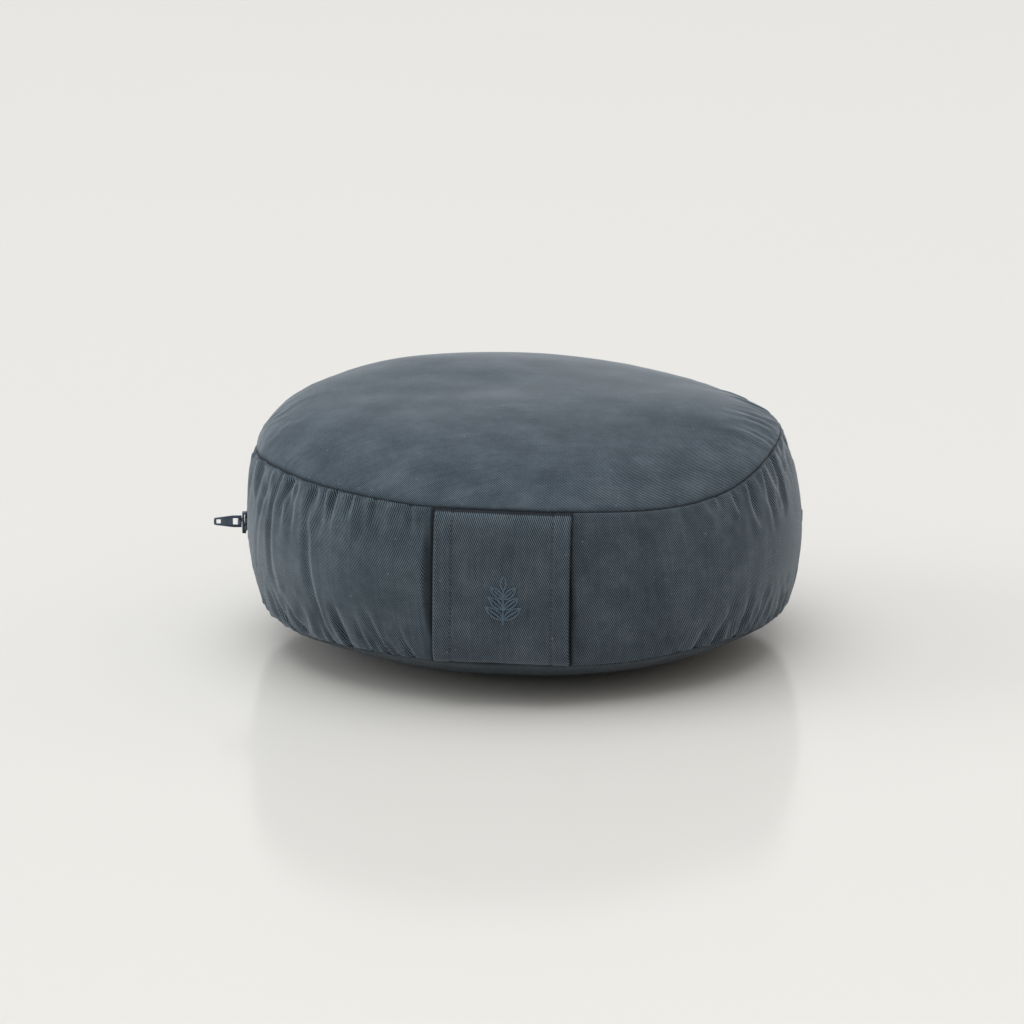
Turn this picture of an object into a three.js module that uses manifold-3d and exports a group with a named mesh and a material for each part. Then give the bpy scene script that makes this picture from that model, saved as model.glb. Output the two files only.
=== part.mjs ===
// Round floor cushion with a full-height side band, a carry handle and a zip.
//
// Units are millimetres and +Z is up. The origin is the centre of the face that
// the cushion rests on, -Y is the front, where the handle is, and the zip runs
// round the back at mid-height, with its slider closed near the -X side.
//
// The cushion is a filled liner inside a sewn cover. Every layer is the same
// rounded form, drawn in from the outside by a side offset and an end offset,
// so the layers stay nested when a size changes.

import * as THREE from 'three';
import { mergeVertices } from 'three/addons/utils/BufferGeometryUtils.js';
import Module from 'manifold-3d';

const wasm = await Module();
wasm.setup();

// ---- driving dimensions -------------------------------------------------------

// Outer form
const seamRadius = 158.5;        // the round top and bottom panels, at their seams
const bandBulge = 11.5;          // how far the side band swells past the seams
const bottomSeamHeight = 23;     // the bottom seam, above the floor
const bandHeight = 96;           // between the two seams
const crownHeight = 33;          // the top panel, above the top seam
const restRadius = 105;          // the flat patch that the cushion rests on
const crownFullness = 3;         // superellipse power of the crown: 2 is an ellipse
const frontFlat = 1;             // the flattened front stands this far past the seams

// Layers
const coverThickness = 1;
const linerThickness = 0.6;
const linerSideRoom = 3.6;       // room for the zip between the cover and the liner
const layerGap = 0.3;            // between pieces that touch

// Carry handle
const strapWidth = 80;
const strapThickness = 2;
const fingerGap = 6;             // between the handle and the cushion
const strapEndInset = 0.6;       // the strap stops this far inside the two seams
const hemInset = 10.5;           // the two stitch rows, in from the strap's edges
const threadWidth = 1;
const threadHeight = 0.5;

// Embroidered leaf sprig on the handle
const emblemHeight = 29;
const emblemWidth = 21;
const emblemThickness = 0.7;
const emblemDrop = 4.5;          // its centre, below mid-height
const emblemShift = 2;           // its centre, to the right of the strap's centre

// Zip
const zipClosedEnd = 100;        // from straight back to the zip's end on the slider's side
const zipOpenEnd = 82;           // from straight back to its other end
const slotHalfWidth = 7.2;       // the open strip between the two fabric edges
const tapeHalfWidth = 16;
const tapeThickness = 0.6;
const tapeClearance = 0.7;       // under the cover, enough for the flats of both rings
const coilHalfGap = 0.9;         // the slider's post runs between the two coils
const coilWidth = 2.5;
const coilHeight = 1.6;
const stopLength = 3;
const stopInset = 2;             // between a stop and the zip's end
const topstitchInset = 3;        // the seam beside the slot

// Zip slider and pull
const sliderLength = 13;
const sliderNoseWidth = 12.8;
const sliderTailWidth = 9.4;
const plateThickness = 1;
const plateClearance = 0.3;      // between the outer plate and the coils
const innerPlateClearance = 0.7; // between the inner plate and the tapes
const flangeWidth = 1.1;
const flangeClearance = 0.9;     // between the flanges and the tapes
const postLength = 3;
const postClearance = 0.4;
const bridgeLength = 8;
const bridgeWidth = 2.6;
const bridgeThickness = 0.9;
const crossbarSize = 1;          // the square bar of the pull, under the bridge
const crossbarClearance = 0.25;
const pullLength = 16.4;         // from its hinge to its tip
const pullBaseWidth = 7.3;
const pullTipWidth = 4.6;
const pullThickness = 1;
const pullWindowClearance = 0.7; // between the pull's window and the bridge
const pullHoleLength = 2.6;
const pullHoleWidth = 2.6;
const pullHoleInset = 1.6;

// Facets
const bodySegments = 48;
const ringSegments = 72;
const crownSteps = 5;
const bandSteps = 6;
const footSteps = 3;

// ---- sizes that follow --------------------------------------------------------

const topSeamHeight = bottomSeamHeight + bandHeight;
const totalHeight = topSeamHeight + crownHeight;
const middleHeight = bottomSeamHeight + bandHeight / 2;
const bandRadius = seamRadius + bandBulge;
const linerSide = coverThickness + linerSideRoom;
const linerEnd = coverThickness + layerGap;
const reach = 2 * (bandRadius + totalHeight);   // larger than the whole cushion
const halfGap = layerGap / 2;

const tapeOuterSide = coverThickness + tapeClearance;
const tapeInnerSide = tapeOuterSide + tapeThickness;
const coilInnerRadius = bandRadius - tapeOuterSide + layerGap;
const coilOuterRadius = coilInnerRadius + coilHeight;
const outerPlateRadius = coilOuterRadius + plateClearance;
const innerPlateRadius = bandRadius - tapeInnerSide - innerPlateClearance;
const plateTopRadius = outerPlateRadius + plateThickness;
const crossbarReach = crossbarSize * Math.SQRT1_2;   // half its diagonal
const hingeRadius = plateTopRadius + crossbarClearance + crossbarReach;
const bridgeUnderRadius = hingeRadius + crossbarReach + crossbarClearance;
const bridgeTopRadius = bridgeUnderRadius + bridgeThickness;

const stopHalfAngle = THREE.MathUtils.radToDeg(stopLength / 2 / bandRadius);
const stopFromEnd = THREE.MathUtils.radToDeg(stopInset / bandRadius) + stopHalfAngle;
const closedStopAngle = zipClosedEnd - stopFromEnd;
const openStopAngle = zipOpenEnd - stopFromEnd;
const sliderHalfAngle = THREE.MathUtils.radToDeg(sliderLength / 2 / bandRadius);
const sliderRestAngle = closedStopAngle - stopHalfAngle - sliderHalfAngle
  - THREE.MathUtils.radToDeg(layerGap / bandRadius);

// ---- materials ----------------------------------------------------------------

const finish = (color, roughness, metalness = 0) =>
  new THREE.MeshStandardMaterial({ color, roughness, metalness });

const coverTwill = () => finish(0x515c68, 0.92);
const handleTwill = () => finish(0x4b5661, 0.92);
const thread = () => finish(0x3b4550, 0.8);
const linerCotton = () => finish(0xe6e0d2, 0.95);
const hulls = () => finish(0x4a382c, 0.9);
const zipTape = () => finish(0x3a444f, 0.85);
const coilPlastic = () => finish(0x343d47, 0.5);
const lacqueredZinc = () => finish(0x3d4854, 0.35, 0.4);

// ---- solids -------------------------------------------------------------------

// A closed geometry as a solid that can be cut: corners merged, slivers dropped.
function solidOf(geometry) {
  const bare = geometry.clone();
  bare.deleteAttribute('normal');
  bare.deleteAttribute('uv');
  const merged = mergeVertices(bare, 1e-4);
  const corners = merged.index.array;
  const kept = [];
  for (let i = 0; i < corners.length; i += 3) {
    const [a, b, c] = corners.slice(i, i + 3);
    if (a !== b && b !== c && c !== a) kept.push(a, b, c);
  }
  return new wasm.Manifold(new wasm.Mesh({
    numProp: 3,
    vertProperties: new Float32Array(merged.attributes.position.array),
    triVerts: new Uint32Array(kept),
  }));
}

function geometryOf(solid) {
  const { vertProperties, triVerts } = solid.getMesh();
  const geometry = new THREE.BufferGeometry();
  geometry.setAttribute('position', new THREE.BufferAttribute(vertProperties, 3));
  geometry.setIndex(new THREE.BufferAttribute(triVerts, 1));
  geometry.computeVertexNormals();
  return geometry;
}

// An outline in (radius, height) turned about the Z axis, anticlockwise if closed.
function turned(outline, segments) {
  const geometry = new THREE.LatheGeometry(outline, segments);
  geometry.rotateX(Math.PI / 2);
  return solidOf(geometry);
}

function box(low, high) {
  const size = high.clone().sub(low);
  const middle = low.clone().add(high).multiplyScalar(0.5);
  const geometry = new THREE.BoxGeometry(size.x, size.y, size.z);
  geometry.translate(middle.x, middle.y, middle.z);
  return solidOf(geometry);
}

const slab = (low, high) => box(
  new THREE.Vector3(-reach, -reach, low), new THREE.Vector3(reach, reach, high));

// An upright wedge between two angles, measured either side of straight back (+Y)
// and positive towards -X.
function wedge(fromAngle, toAngle) {
  const steps = Math.ceil((toAngle - fromAngle) / 10);
  const outline = [new THREE.Vector2(0, 0)];
  for (let i = 0; i <= steps; i += 1) {
    const angle = THREE.MathUtils.degToRad(90 + fromAngle + (toAngle - fromAngle) * i / steps);
    outline.push(new THREE.Vector2(reach * Math.cos(angle), reach * Math.sin(angle)));
  }
  const geometry = new THREE.ExtrudeGeometry(new THREE.Shape(outline),
    { depth: reach, bevelEnabled: false });
  return solidOf(geometry);
}

// ---- the cushion's form -------------------------------------------------------

// Radius of the band at a height, drawn in by a side offset: a parabola in height.
function bandRadiusAt(height, side) {
  const share = (height - middleHeight) / (bandHeight / 2);
  return seamRadius - side + bandBulge * (1 - share * share);
}

// The whole rounded form. Its outline runs from the axis across the flat patch,
// up a superellipse to the bottom seam, out and in over the band, and up a
// superellipse to the crown. The front is then cut flat, behind the handle.
function cushionForm(side, end) {
  const rim = seamRadius - side;
  const outline = [new THREE.Vector2(0, end)];
  for (let i = 0; i < footSteps; i += 1) {
    const turn = (i / footSteps) * Math.PI / 2;
    outline.push(new THREE.Vector2(
      restRadius + (rim - restRadius) * Math.sin(turn),
      end + (bottomSeamHeight - end) * (1 - Math.cos(turn))));
  }
  for (let i = 0; i <= bandSteps; i += 1) {
    const height = bottomSeamHeight + bandHeight * i / bandSteps;
    outline.push(new THREE.Vector2(bandRadiusAt(height, side), height));
  }
  for (let i = 1; i < crownSteps; i += 1) {
    const turn = (i / crownSteps) * Math.PI / 2;
    outline.push(new THREE.Vector2(
      rim * Math.cos(turn) ** (2 / crownFullness),
      topSeamHeight + (crownHeight - end) * Math.sin(turn) ** (2 / crownFullness)));
  }
  outline.push(new THREE.Vector2(0, totalHeight - end));
  const flat = -(seamRadius + frontFlat - side);
  const front = box(
    new THREE.Vector3(-reach, -reach, -reach), new THREE.Vector3(reach, flat, reach));
  return turned(outline, bodySegments).subtract(front);
}

const belowBottomSeam = slab(-reach, bottomSeamHeight - halfGap);
const betweenSeams = slab(bottomSeamHeight + halfGap, topSeamHeight - halfGap);
const aboveTopSeam = slab(topSeamHeight + halfGap, reach);

const cover = cushionForm(0, 0).subtract(cushionForm(coverThickness, coverThickness));
const liner = cushionForm(linerSide, linerEnd)
  .subtract(cushionForm(linerSide + linerThickness, linerEnd + linerThickness));
const fill = cushionForm(linerSide + linerThickness + layerGap,
  linerEnd + linerThickness + layerGap);

const seamGapAngle = THREE.MathUtils.radToDeg(halfGap / seamRadius);
const backHalf = wedge(-zipOpenEnd + seamGapAngle, zipClosedEnd - seamGapAngle);
const frontHalf = wedge(zipClosedEnd + seamGapAngle, 360 - zipOpenEnd - seamGapAngle);
const aboveSlot = slab(middleHeight + slotHalfWidth, reach);
const belowSlot = slab(-reach, middleHeight - slotHalfWidth);
const coverBand = cover.intersect(betweenSeams);
const backBand = coverBand.intersect(backHalf);

// ---- carry handle -------------------------------------------------------------

// How far in front of the axis the strap's back face is, at a height.
function strapBackAt(height) {
  const share = (height - middleHeight) / (bandHeight / 2);
  return seamRadius + frontFlat + layerGap + fingerGap * (1 - share ** 4);
}

// A strip that follows the strap's curve: its outline in (distance in front of
// the axis, height), extruded across the strap.
function strapStrip(inner, outer, width, middle) {
  const low = bottomSeamHeight + strapEndInset;
  const high = topSeamHeight - strapEndInset;
  const steps = 12;
  const front = [];
  const back = [];
  for (let i = 0; i <= steps; i += 1) {
    const height = low + (high - low) * i / steps;
    front.push(new THREE.Vector2(strapBackAt(height) + outer, height));
    back.unshift(new THREE.Vector2(strapBackAt(height) + inner, height));
  }
  const geometry = new THREE.ExtrudeGeometry(new THREE.Shape([...front, ...back]),
    { depth: width, bevelEnabled: false });
  geometry.translate(0, 0, -width / 2);
  // The outline's first axis becomes -Y, its second +Z, and its depth runs along -X.
  geometry.applyMatrix4(new THREE.Matrix4().makeBasis(
    new THREE.Vector3(0, -1, 0), new THREE.Vector3(0, 0, 1), new THREE.Vector3(-1, 0, 0)));
  geometry.translate(middle, 0, 0);
  return solidOf(geometry);
}

const stitchRow = (middle) => strapStrip(
  strapThickness + layerGap, strapThickness + layerGap + threadHeight, threadWidth, middle);
const hemOffset = strapWidth / 2 - hemInset;

// A pointed leaf between two points: two arcs that bulge by a share of its length.
function leaf(base, tip, bulge) {
  const along = tip.clone().sub(base);
  const aside = new THREE.Vector2(-along.y, along.x).multiplyScalar(bulge);
  const middle = base.clone().add(tip).multiplyScalar(0.5);
  const left = middle.clone().add(aside);
  const right = middle.clone().sub(aside);
  const shape = new THREE.Shape();
  shape.moveTo(base.x, base.y);
  shape.quadraticCurveTo(right.x, right.y, tip.x, tip.y);
  shape.quadraticCurveTo(left.x, left.y, base.x, base.y);
  return solidOf(new THREE.ExtrudeGeometry(shape,
    { depth: emblemThickness, bevelEnabled: false, curveSegments: 5 }));
}

// A plain sprig: a narrow stem, pairs of leaves up it, and one leaf at its top.
function leafSprig() {
  const pairs = 3;
  const foot = -emblemHeight / 2;
  let sprig = leaf(new THREE.Vector2(0, foot), new THREE.Vector2(0, emblemHeight / 2), 0.09);
  for (let i = 0; i < pairs; i += 1) {
    const start = foot + emblemHeight * (0.12 + 0.22 * i);
    const spread = emblemWidth / 2 * (1 - 0.16 * i);
    for (const side of [-1, 1]) {
      sprig = sprig.add(leaf(new THREE.Vector2(0, start),
        new THREE.Vector2(side * spread, start + emblemHeight * 0.27), 0.3));
    }
  }
  const geometry = geometryOf(sprig);
  // It stands upright in front of the strap, clear of its fullest point.
  geometry.rotateX(Math.PI / 2);
  geometry.translate(emblemShift,
    -(strapBackAt(middleHeight) + strapThickness + layerGap), middleHeight - emblemDrop);
  return geometry;
}

// ---- zip ----------------------------------------------------------------------

// A ring round the back that follows the band's swell between two heights, from
// one side offset to another.
function bandRing(low, high, outerSide, innerSide, steps) {
  const outer = [];
  const inner = [];
  for (let i = 0; i <= steps; i += 1) {
    const height = low + (high - low) * i / steps;
    outer.push(new THREE.Vector2(bandRadiusAt(height, outerSide), height));
    inner.unshift(new THREE.Vector2(bandRadiusAt(height, innerSide), height));
  }
  return turned([...outer, ...inner, outer[0]], ringSegments);
}

const zipSector = wedge(-zipOpenEnd + 2 * seamGapAngle, zipClosedEnd - 2 * seamGapAngle);
const stopClearance = stopHalfAngle + seamGapAngle;

// The upper half of a pair is at side 1 and the lower half at side -1.
function mirroredRing(side, near, far, outerSide, innerSide, steps) {
  const low = middleHeight + (side > 0 ? near : -far);
  const high = middleHeight + (side > 0 ? far : -near);
  return bandRing(low, high, outerSide, innerSide, steps);
}

const tape = (side) => mirroredRing(side, coilHalfGap, tapeHalfWidth,
  tapeOuterSide, tapeInnerSide, 3).intersect(zipSector);

const topstitch = (side) => mirroredRing(side, slotHalfWidth + topstitchInset,
  slotHalfWidth + topstitchInset + threadWidth, -layerGap - threadHeight, -layerGap, 1)
  .intersect(zipSector);

// A flat-sided bead beside the centre line, from the coil's inner to outer radius.
function bead(near, far, fromAngle, toAngle) {
  const outline = [
    new THREE.Vector2(coilInnerRadius, middleHeight + near),
    new THREE.Vector2(coilOuterRadius, middleHeight + near),
    new THREE.Vector2(coilOuterRadius, middleHeight + far),
    new THREE.Vector2(coilInnerRadius, middleHeight + far),
  ];
  return turned([...outline, outline[0]], ringSegments).intersect(wedge(fromAngle, toAngle));
}

const coil = (side) => {
  const near = side > 0 ? coilHalfGap : -coilHalfGap - coilWidth;
  return bead(near, near + coilWidth, stopClearance - openStopAngle,
    closedStopAngle - stopClearance);
};

// Two closed-end stops, one on each coil, and one open-end stop across both.
const closedStop = (side) => {
  const near = side > 0 ? coilHalfGap : -coilHalfGap - coilWidth;
  return bead(near, near + coilWidth, closedStopAngle - stopHalfAngle,
    closedStopAngle + stopHalfAngle);
};
const openStop = () => bead(-coilHalfGap - coilWidth, coilHalfGap + coilWidth,
  -openStopAngle - stopHalfAngle, -openStopAngle + stopHalfAngle);

// ---- slider and pull ----------------------------------------------------------
// In the slider's own frame X points out of the cushion, Y along the zip towards
// its closed end, and Z up; X = 0 is the cushion's axis.

// A flat outline in (along the zip, up), extruded outwards between two radii.
function plate(outline, innerRadius, outerRadius) {
  const geometry = new THREE.ExtrudeGeometry(new THREE.Shape(outline),
    { depth: outerRadius - innerRadius, bevelEnabled: false });
  geometry.applyMatrix4(new THREE.Matrix4().makeBasis(
    new THREE.Vector3(0, 1, 0), new THREE.Vector3(0, 0, 1), new THREE.Vector3(1, 0, 0)));
  geometry.translate(innerRadius, 0, 0);
  return solidOf(geometry);
}

// The shield outline of both plates: wide at the nose, narrower at the tail.
function shieldOutline() {
  const nose = sliderLength / 2;
  const half = sliderNoseWidth / 2;
  const tail = sliderTailWidth / 2;
  return [
    new THREE.Vector2(-nose, -tail), new THREE.Vector2(nose * 0.2, -half),
    new THREE.Vector2(nose * 0.75, -half), new THREE.Vector2(nose, -half * 0.6),
    new THREE.Vector2(nose, half * 0.6), new THREE.Vector2(nose * 0.75, half),
    new THREE.Vector2(nose * 0.2, half), new THREE.Vector2(-nose, tail),
  ];
}

function sliderBody() {
  const nose = sliderLength / 2;
  const half = sliderNoseWidth / 2;
  const tail = sliderTailWidth / 2;
  const post = coilHalfGap - postClearance;
  const flangeInner = bandRadius - tapeOuterSide + flangeClearance;
  const outer = plate(shieldOutline(), outerPlateRadius, plateTopRadius);
  const inner = plate(shieldOutline(), innerPlateRadius - plateThickness, innerPlateRadius);
  const postSolid = box(
    new THREE.Vector3(innerPlateRadius - plateThickness / 2, nose - postLength, -post),
    new THREE.Vector3(outerPlateRadius + plateThickness / 2, nose, post));
  let body = outer.add(inner).add(postSolid);
  for (const side of [-1, 1]) {
    const flange = [
      new THREE.Vector2(-nose, side * tail), new THREE.Vector2(nose * 0.2, side * half),
      new THREE.Vector2(nose * 0.75, side * half),
      new THREE.Vector2(nose * 0.75, side * (half - flangeWidth)),
      new THREE.Vector2(nose * 0.2, side * (half - flangeWidth)),
      new THREE.Vector2(-nose, side * (tail - flangeWidth)),
    ];
    body = body.add(plate(flange, flangeInner, outerPlateRadius + plateThickness / 2));
  }
  return body;
}

// The arch that holds the pull: its side view in (out, along the zip), extruded up.
function sliderBridge() {
  const half = bridgeLength / 2;
  const foot = plateTopRadius + layerGap;
  const inside = half - bridgeThickness;
  const outline = [
    new THREE.Vector2(foot, -half), new THREE.Vector2(bridgeUnderRadius, -half),
    new THREE.Vector2(bridgeTopRadius, -inside), new THREE.Vector2(bridgeTopRadius, inside),
    new THREE.Vector2(bridgeUnderRadius, half), new THREE.Vector2(foot, half),
    new THREE.Vector2(foot, inside), new THREE.Vector2(bridgeUnderRadius, inside),
    new THREE.Vector2(bridgeUnderRadius, -inside), new THREE.Vector2(foot, -inside),
  ];
  const geometry = new THREE.ExtrudeGeometry(new THREE.Shape(outline),
    { depth: bridgeWidth, bevelEnabled: false });
  geometry.translate(0, 0, -bridgeWidth / 2);
  return solidOf(geometry);
}

// A tapered tab with a window at its base, where the bridge goes through, and a
// hole at its tip. Its outline is in (out from the hinge, up).
function pullTab() {
  const base = crossbarSize / 2;
  const cornerReach = Math.hypot(bridgeLength / 2, bridgeUnderRadius - hingeRadius);
  const windowEnd = cornerReach + pullWindowClearance;
  const windowHalf = bridgeWidth / 2 + pullWindowClearance;
  const wide = pullBaseWidth / 2;
  const narrow = pullTipWidth / 2;
  const round = narrow * 0.6;
  const shape = new THREE.Shape();
  shape.moveTo(-base, -wide);
  shape.lineTo(windowEnd, -wide);
  shape.lineTo(pullLength - round, -narrow);
  shape.quadraticCurveTo(pullLength, -narrow, pullLength, -narrow + round);
  shape.lineTo(pullLength, narrow - round);
  shape.quadraticCurveTo(pullLength, narrow, pullLength - round, narrow);
  shape.lineTo(windowEnd, wide);
  shape.lineTo(-base, wide);
  shape.closePath();
  const opening = (low, high, half) => new THREE.Path([
    new THREE.Vector2(low, -half), new THREE.Vector2(low, half),
    new THREE.Vector2(high, half), new THREE.Vector2(high, -half),
  ]);
  shape.holes.push(opening(base, windowEnd, windowHalf));
  const holeEnd = pullLength - pullHoleInset;
  shape.holes.push(opening(holeEnd - pullHoleLength, holeEnd, pullHoleWidth / 2));
  const geometry = new THREE.ExtrudeGeometry(shape,
    { depth: pullThickness, bevelEnabled: false, curveSegments: 4 });
  geometry.translate(0, 0, -pullThickness / 2);
  // The outline's first axis stays X, its second becomes Z.
  geometry.rotateX(Math.PI / 2);
  return solidOf(geometry);
}

// ---- assembly -----------------------------------------------------------------

const cushion = new THREE.Group();

function addPiece(parent, name, shape, material) {
  const geometry = shape.isBufferGeometry ? shape : geometryOf(shape);
  const mesh = new THREE.Mesh(geometry, material);
  mesh.name = name;
  parent.add(mesh);
}

addPiece(cushion, 'cover_top_panel', cover.intersect(aboveTopSeam), coverTwill());
addPiece(cushion, 'cover_bottom_panel', cover.intersect(belowBottomSeam), coverTwill());
addPiece(cushion, 'cover_front_band', coverBand.intersect(frontHalf), coverTwill());
addPiece(cushion, 'cover_back_band_upper', backBand.intersect(aboveSlot), coverTwill());
addPiece(cushion, 'cover_back_band_lower', backBand.intersect(belowSlot), coverTwill());

addPiece(cushion, 'liner_top_panel', liner.intersect(aboveTopSeam), linerCotton());
addPiece(cushion, 'liner_bottom_panel', liner.intersect(belowBottomSeam), linerCotton());
addPiece(cushion, 'liner_band', liner.intersect(betweenSeams), linerCotton());
addPiece(cushion, 'hull_fill', fill, hulls());

addPiece(cushion, 'handle_strap', strapStrip(0, strapThickness, strapWidth, 0), handleTwill());
addPiece(cushion, 'handle_stitching_left', stitchRow(-hemOffset), thread());
addPiece(cushion, 'handle_stitching_right', stitchRow(hemOffset), thread());
addPiece(cushion, 'emblem_embroidery', leafSprig(), thread());

for (const [name, side] of [['upper', 1], ['lower', -1]]) {
  addPiece(cushion, `zip_tape_${name}`, tape(side), zipTape());
  addPiece(cushion, `zip_coil_${name}`, coil(side), coilPlastic());
  addPiece(cushion, `zip_closed_stop_${name}`, closedStop(side), lacqueredZinc());
  addPiece(cushion, `zip_topstitch_${name}`, topstitch(side), thread());
}
addPiece(cushion, 'zip_open_stop', openStop(), lacqueredZinc());

// The slider at the closed end of the zip, with its pull standing straight out.
const slider = new THREE.Group();
slider.position.z = middleHeight;
slider.rotation.z = THREE.MathUtils.degToRad(90 + sliderRestAngle);
cushion.add(slider);
addPiece(slider, 'zip_slider_body', sliderBody(), lacqueredZinc());
addPiece(slider, 'zip_slider_bridge', sliderBridge(), lacqueredZinc());

const pull = new THREE.Group();
pull.position.x = hingeRadius;
slider.add(pull);
addPiece(pull, 'zip_pull', pullTab(), lacqueredZinc());

export default cushion;
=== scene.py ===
"""A round floor cushion: a twill cover with a gathered side band, a carry handle and a zip.

The cover is one closed padded form. Its shape is worked out row by row as rings of points,
settled as cloth, gathered along its seams and given a map in metres of flat cloth, so that
the weave follows each panel. Lengths here are millimetres until a mesh is made.
"""

import math

import bmesh
import bpy
import numpy as np
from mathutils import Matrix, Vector


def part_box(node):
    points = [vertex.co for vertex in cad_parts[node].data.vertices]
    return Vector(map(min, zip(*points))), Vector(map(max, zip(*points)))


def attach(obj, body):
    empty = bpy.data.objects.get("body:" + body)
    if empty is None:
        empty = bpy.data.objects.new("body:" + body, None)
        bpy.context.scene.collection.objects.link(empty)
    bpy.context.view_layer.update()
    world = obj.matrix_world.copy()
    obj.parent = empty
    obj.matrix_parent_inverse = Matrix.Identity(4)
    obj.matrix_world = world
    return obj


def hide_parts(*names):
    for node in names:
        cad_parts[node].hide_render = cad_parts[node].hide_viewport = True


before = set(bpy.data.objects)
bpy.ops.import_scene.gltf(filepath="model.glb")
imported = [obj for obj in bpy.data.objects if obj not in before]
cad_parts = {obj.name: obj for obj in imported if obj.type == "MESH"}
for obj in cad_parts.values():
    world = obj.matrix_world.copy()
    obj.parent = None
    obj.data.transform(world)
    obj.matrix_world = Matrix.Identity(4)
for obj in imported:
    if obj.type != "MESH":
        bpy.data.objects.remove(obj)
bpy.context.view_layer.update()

MM = 0.001


# ---- sizes from the frame -------------------------------------------------------

def corners(node):
    """Lowest and highest corner of a CAD node, in millimetres."""
    low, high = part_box(node)
    return np.array(low) / MM, np.array(high) / MM


band_low, band_high = corners("cover_front_band")
crown_low, crown_high = corners("cover_top_panel")
strap_low, strap_high = corners("handle_strap")
back_low, back_high = corners("cover_back_band_upper")
slot_low = corners("cover_back_band_lower")[1][2]
slot_high = back_low[2]

SEAM_RADIUS = (crown_high[0] - crown_low[0]) / 2
BAND_RADIUS = (back_high[0] - back_low[0]) / 2
SEAM_GAP = 0.15
BOTTOM_SEAM = band_low[2] - SEAM_GAP
TOP_SEAM = band_high[2] + SEAM_GAP
HEIGHT = crown_high[2]
MIDDLE = (slot_low + slot_high) / 2
SLOT_HALF = (slot_high - slot_low) / 2
STRAP_HALF = (strap_high[0] - strap_low[0]) / 2
STRAP_FRONT = -strap_low[1]

# ---- form of the cushion --------------------------------------------------------
# Each list gives a value at some angles, in degrees from the front towards +X.

COLUMNS = 800                     # points round the cover
VIEW_TURN = 5                     # the camera stands this far round from the front

TOP_SEAM_RISE = [(-170, 0), (-120, -1), (-84, -3), (-62, 2), (-38, 1.5), (-15, -0.5),
                 (14, -1.8), (38, -6.5), (52, -5.5), (64, -1.5), (74, 7), (86, 10),
                 (105, 9), (135, 3)]
BOTTOM_SEAM_RISE = [(-150, -2), (-90, -2), (-56, -1), (-30, 2), (14, 0.2), (36, 0.6),
                    (52, 1.8), (70, 0.5), (120, -2)]
BAND_SWELL = [(-150, 11.5), (-85, 9.8), (-45, 9.5), (-22, 10.5), (22, 8.5), (50, 11),
              (95, 12), (150, 12)]
CROWN_FULLNESS = [(-85, 5.0), (-45, 3.4), (5, 2.6), (50, 2.6), (95, 2.9), (140, 3.4),
                  (180, 4.2)]
CROWN_ROUNDNESS = [(-85, 2.0), (-45, 1.3), (5, 1.15), (50, 1.2), (95, 1.35), (140, 1.6),
                   (180, 1.9)]
CROWN_LEAN = 3.6                  # the top seam's ring sits this far towards the slider
FOOT_LEAN = -1.0                  # and the bottom seam's ring this far the other way
CROWN_OVER = 0.4                  # the top's centre before the swells, above the frame's
# Broad swells of the top where the hulls have shifted: x, y, width and height.
CROWN_SWELLS = [(-80, 65, 62, 3.9), (112, 62, 45, -1.4), (-20, 100, 60, 1.0)]
TOP_SPREAD = 0.7                  # the top seam's ring is wider by this
SEAM_FLAT = 3.0                   # the seams are drawn in this far at the handle's ends
FRONT_FLAT = 0.6                  # the flat behind the handle stands this far past the seams
FLAT_STEP = 14                    # beside that flat the band may stand this much further out
ARCH_SKEW = 0.96                  # below 1, the band is widest a little under mid-height
ARCH_POWER = 0.85                 # below 1, the band's arch is fuller than a sine
STRAP_SHIFT = 0.5                 # the handle's middle, to the right of straight ahead
REST_RADIUS = 85                  # the bottom is flat inside this
WORN_RADIUS = 112                 # the crown is brushed smooth inside this
RIM_WEAR = 0.15                   # how brushed the top is at its rim, where 1 is smooth
# The power of the bottom's climb from its flat to its seam: more is a sharper turn.
FOOT_FULLNESS = [(-178, 1.6), (20, 1.6), (45, 2.1), (80, 2.1), (120, 1.6)]


def around(phi, points, softness=7.0):
    """A value that changes smoothly with the angle: straight lines between the given
    points, rounded off by a Gaussian that is softness degrees wide."""
    degrees, values = zip(*points)
    fine = np.arange(-180, 180, 0.5)
    spectrum = np.fft.rfft(np.interp(fine, degrees, values, period=360))
    waves = np.arange(spectrum.size)
    spectrum *= np.exp(-0.5 * (waves * math.radians(softness)) ** 2)
    return np.interp(np.degrees(phi), fine, np.fft.irfft(spectrum, fine.size), period=360)


def soft_least(a, b, width):
    """The smaller of two values, with the corner between them rounded over a width."""
    blend = np.clip(0.5 + 0.5 * (b - a) / width, 0, 1)
    return b * (1 - blend) + a * blend - width * blend * (1 - blend)


def smooth_step(value, start, end):
    share = np.clip((value - start) / (end - start), 0, 1)
    return share * share * (3 - 2 * share)


def smooth_noise(x, y, z, size, seed):
    """A sum of waves in random directions: soft lumps about size across, from -1 to 1."""
    draw = np.random.default_rng(seed)
    total = 0
    for _ in range(14):
        heading = draw.normal(size=3)
        heading *= 2 * math.pi / (size * draw.uniform(0.7, 1.6)) / np.linalg.norm(heading)
        total = total + np.sin(heading[0] * x + heading[1] * y + heading[2] * z
                               + draw.uniform(0, 2 * math.pi))
    return total / 14 * 1.9


def seam_ring(phi, top):
    """Radius of a seam at each angle: a circle, pulled flat across the handle."""
    flat = (SEAM_RADIUS - SEAM_FLAT) / np.maximum(np.cos(phi), 0.2)
    radius = np.full_like(phi, SEAM_RADIUS + (TOP_SPREAD if top else 0.0))
    return soft_least(radius, flat, width=3.0)


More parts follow.
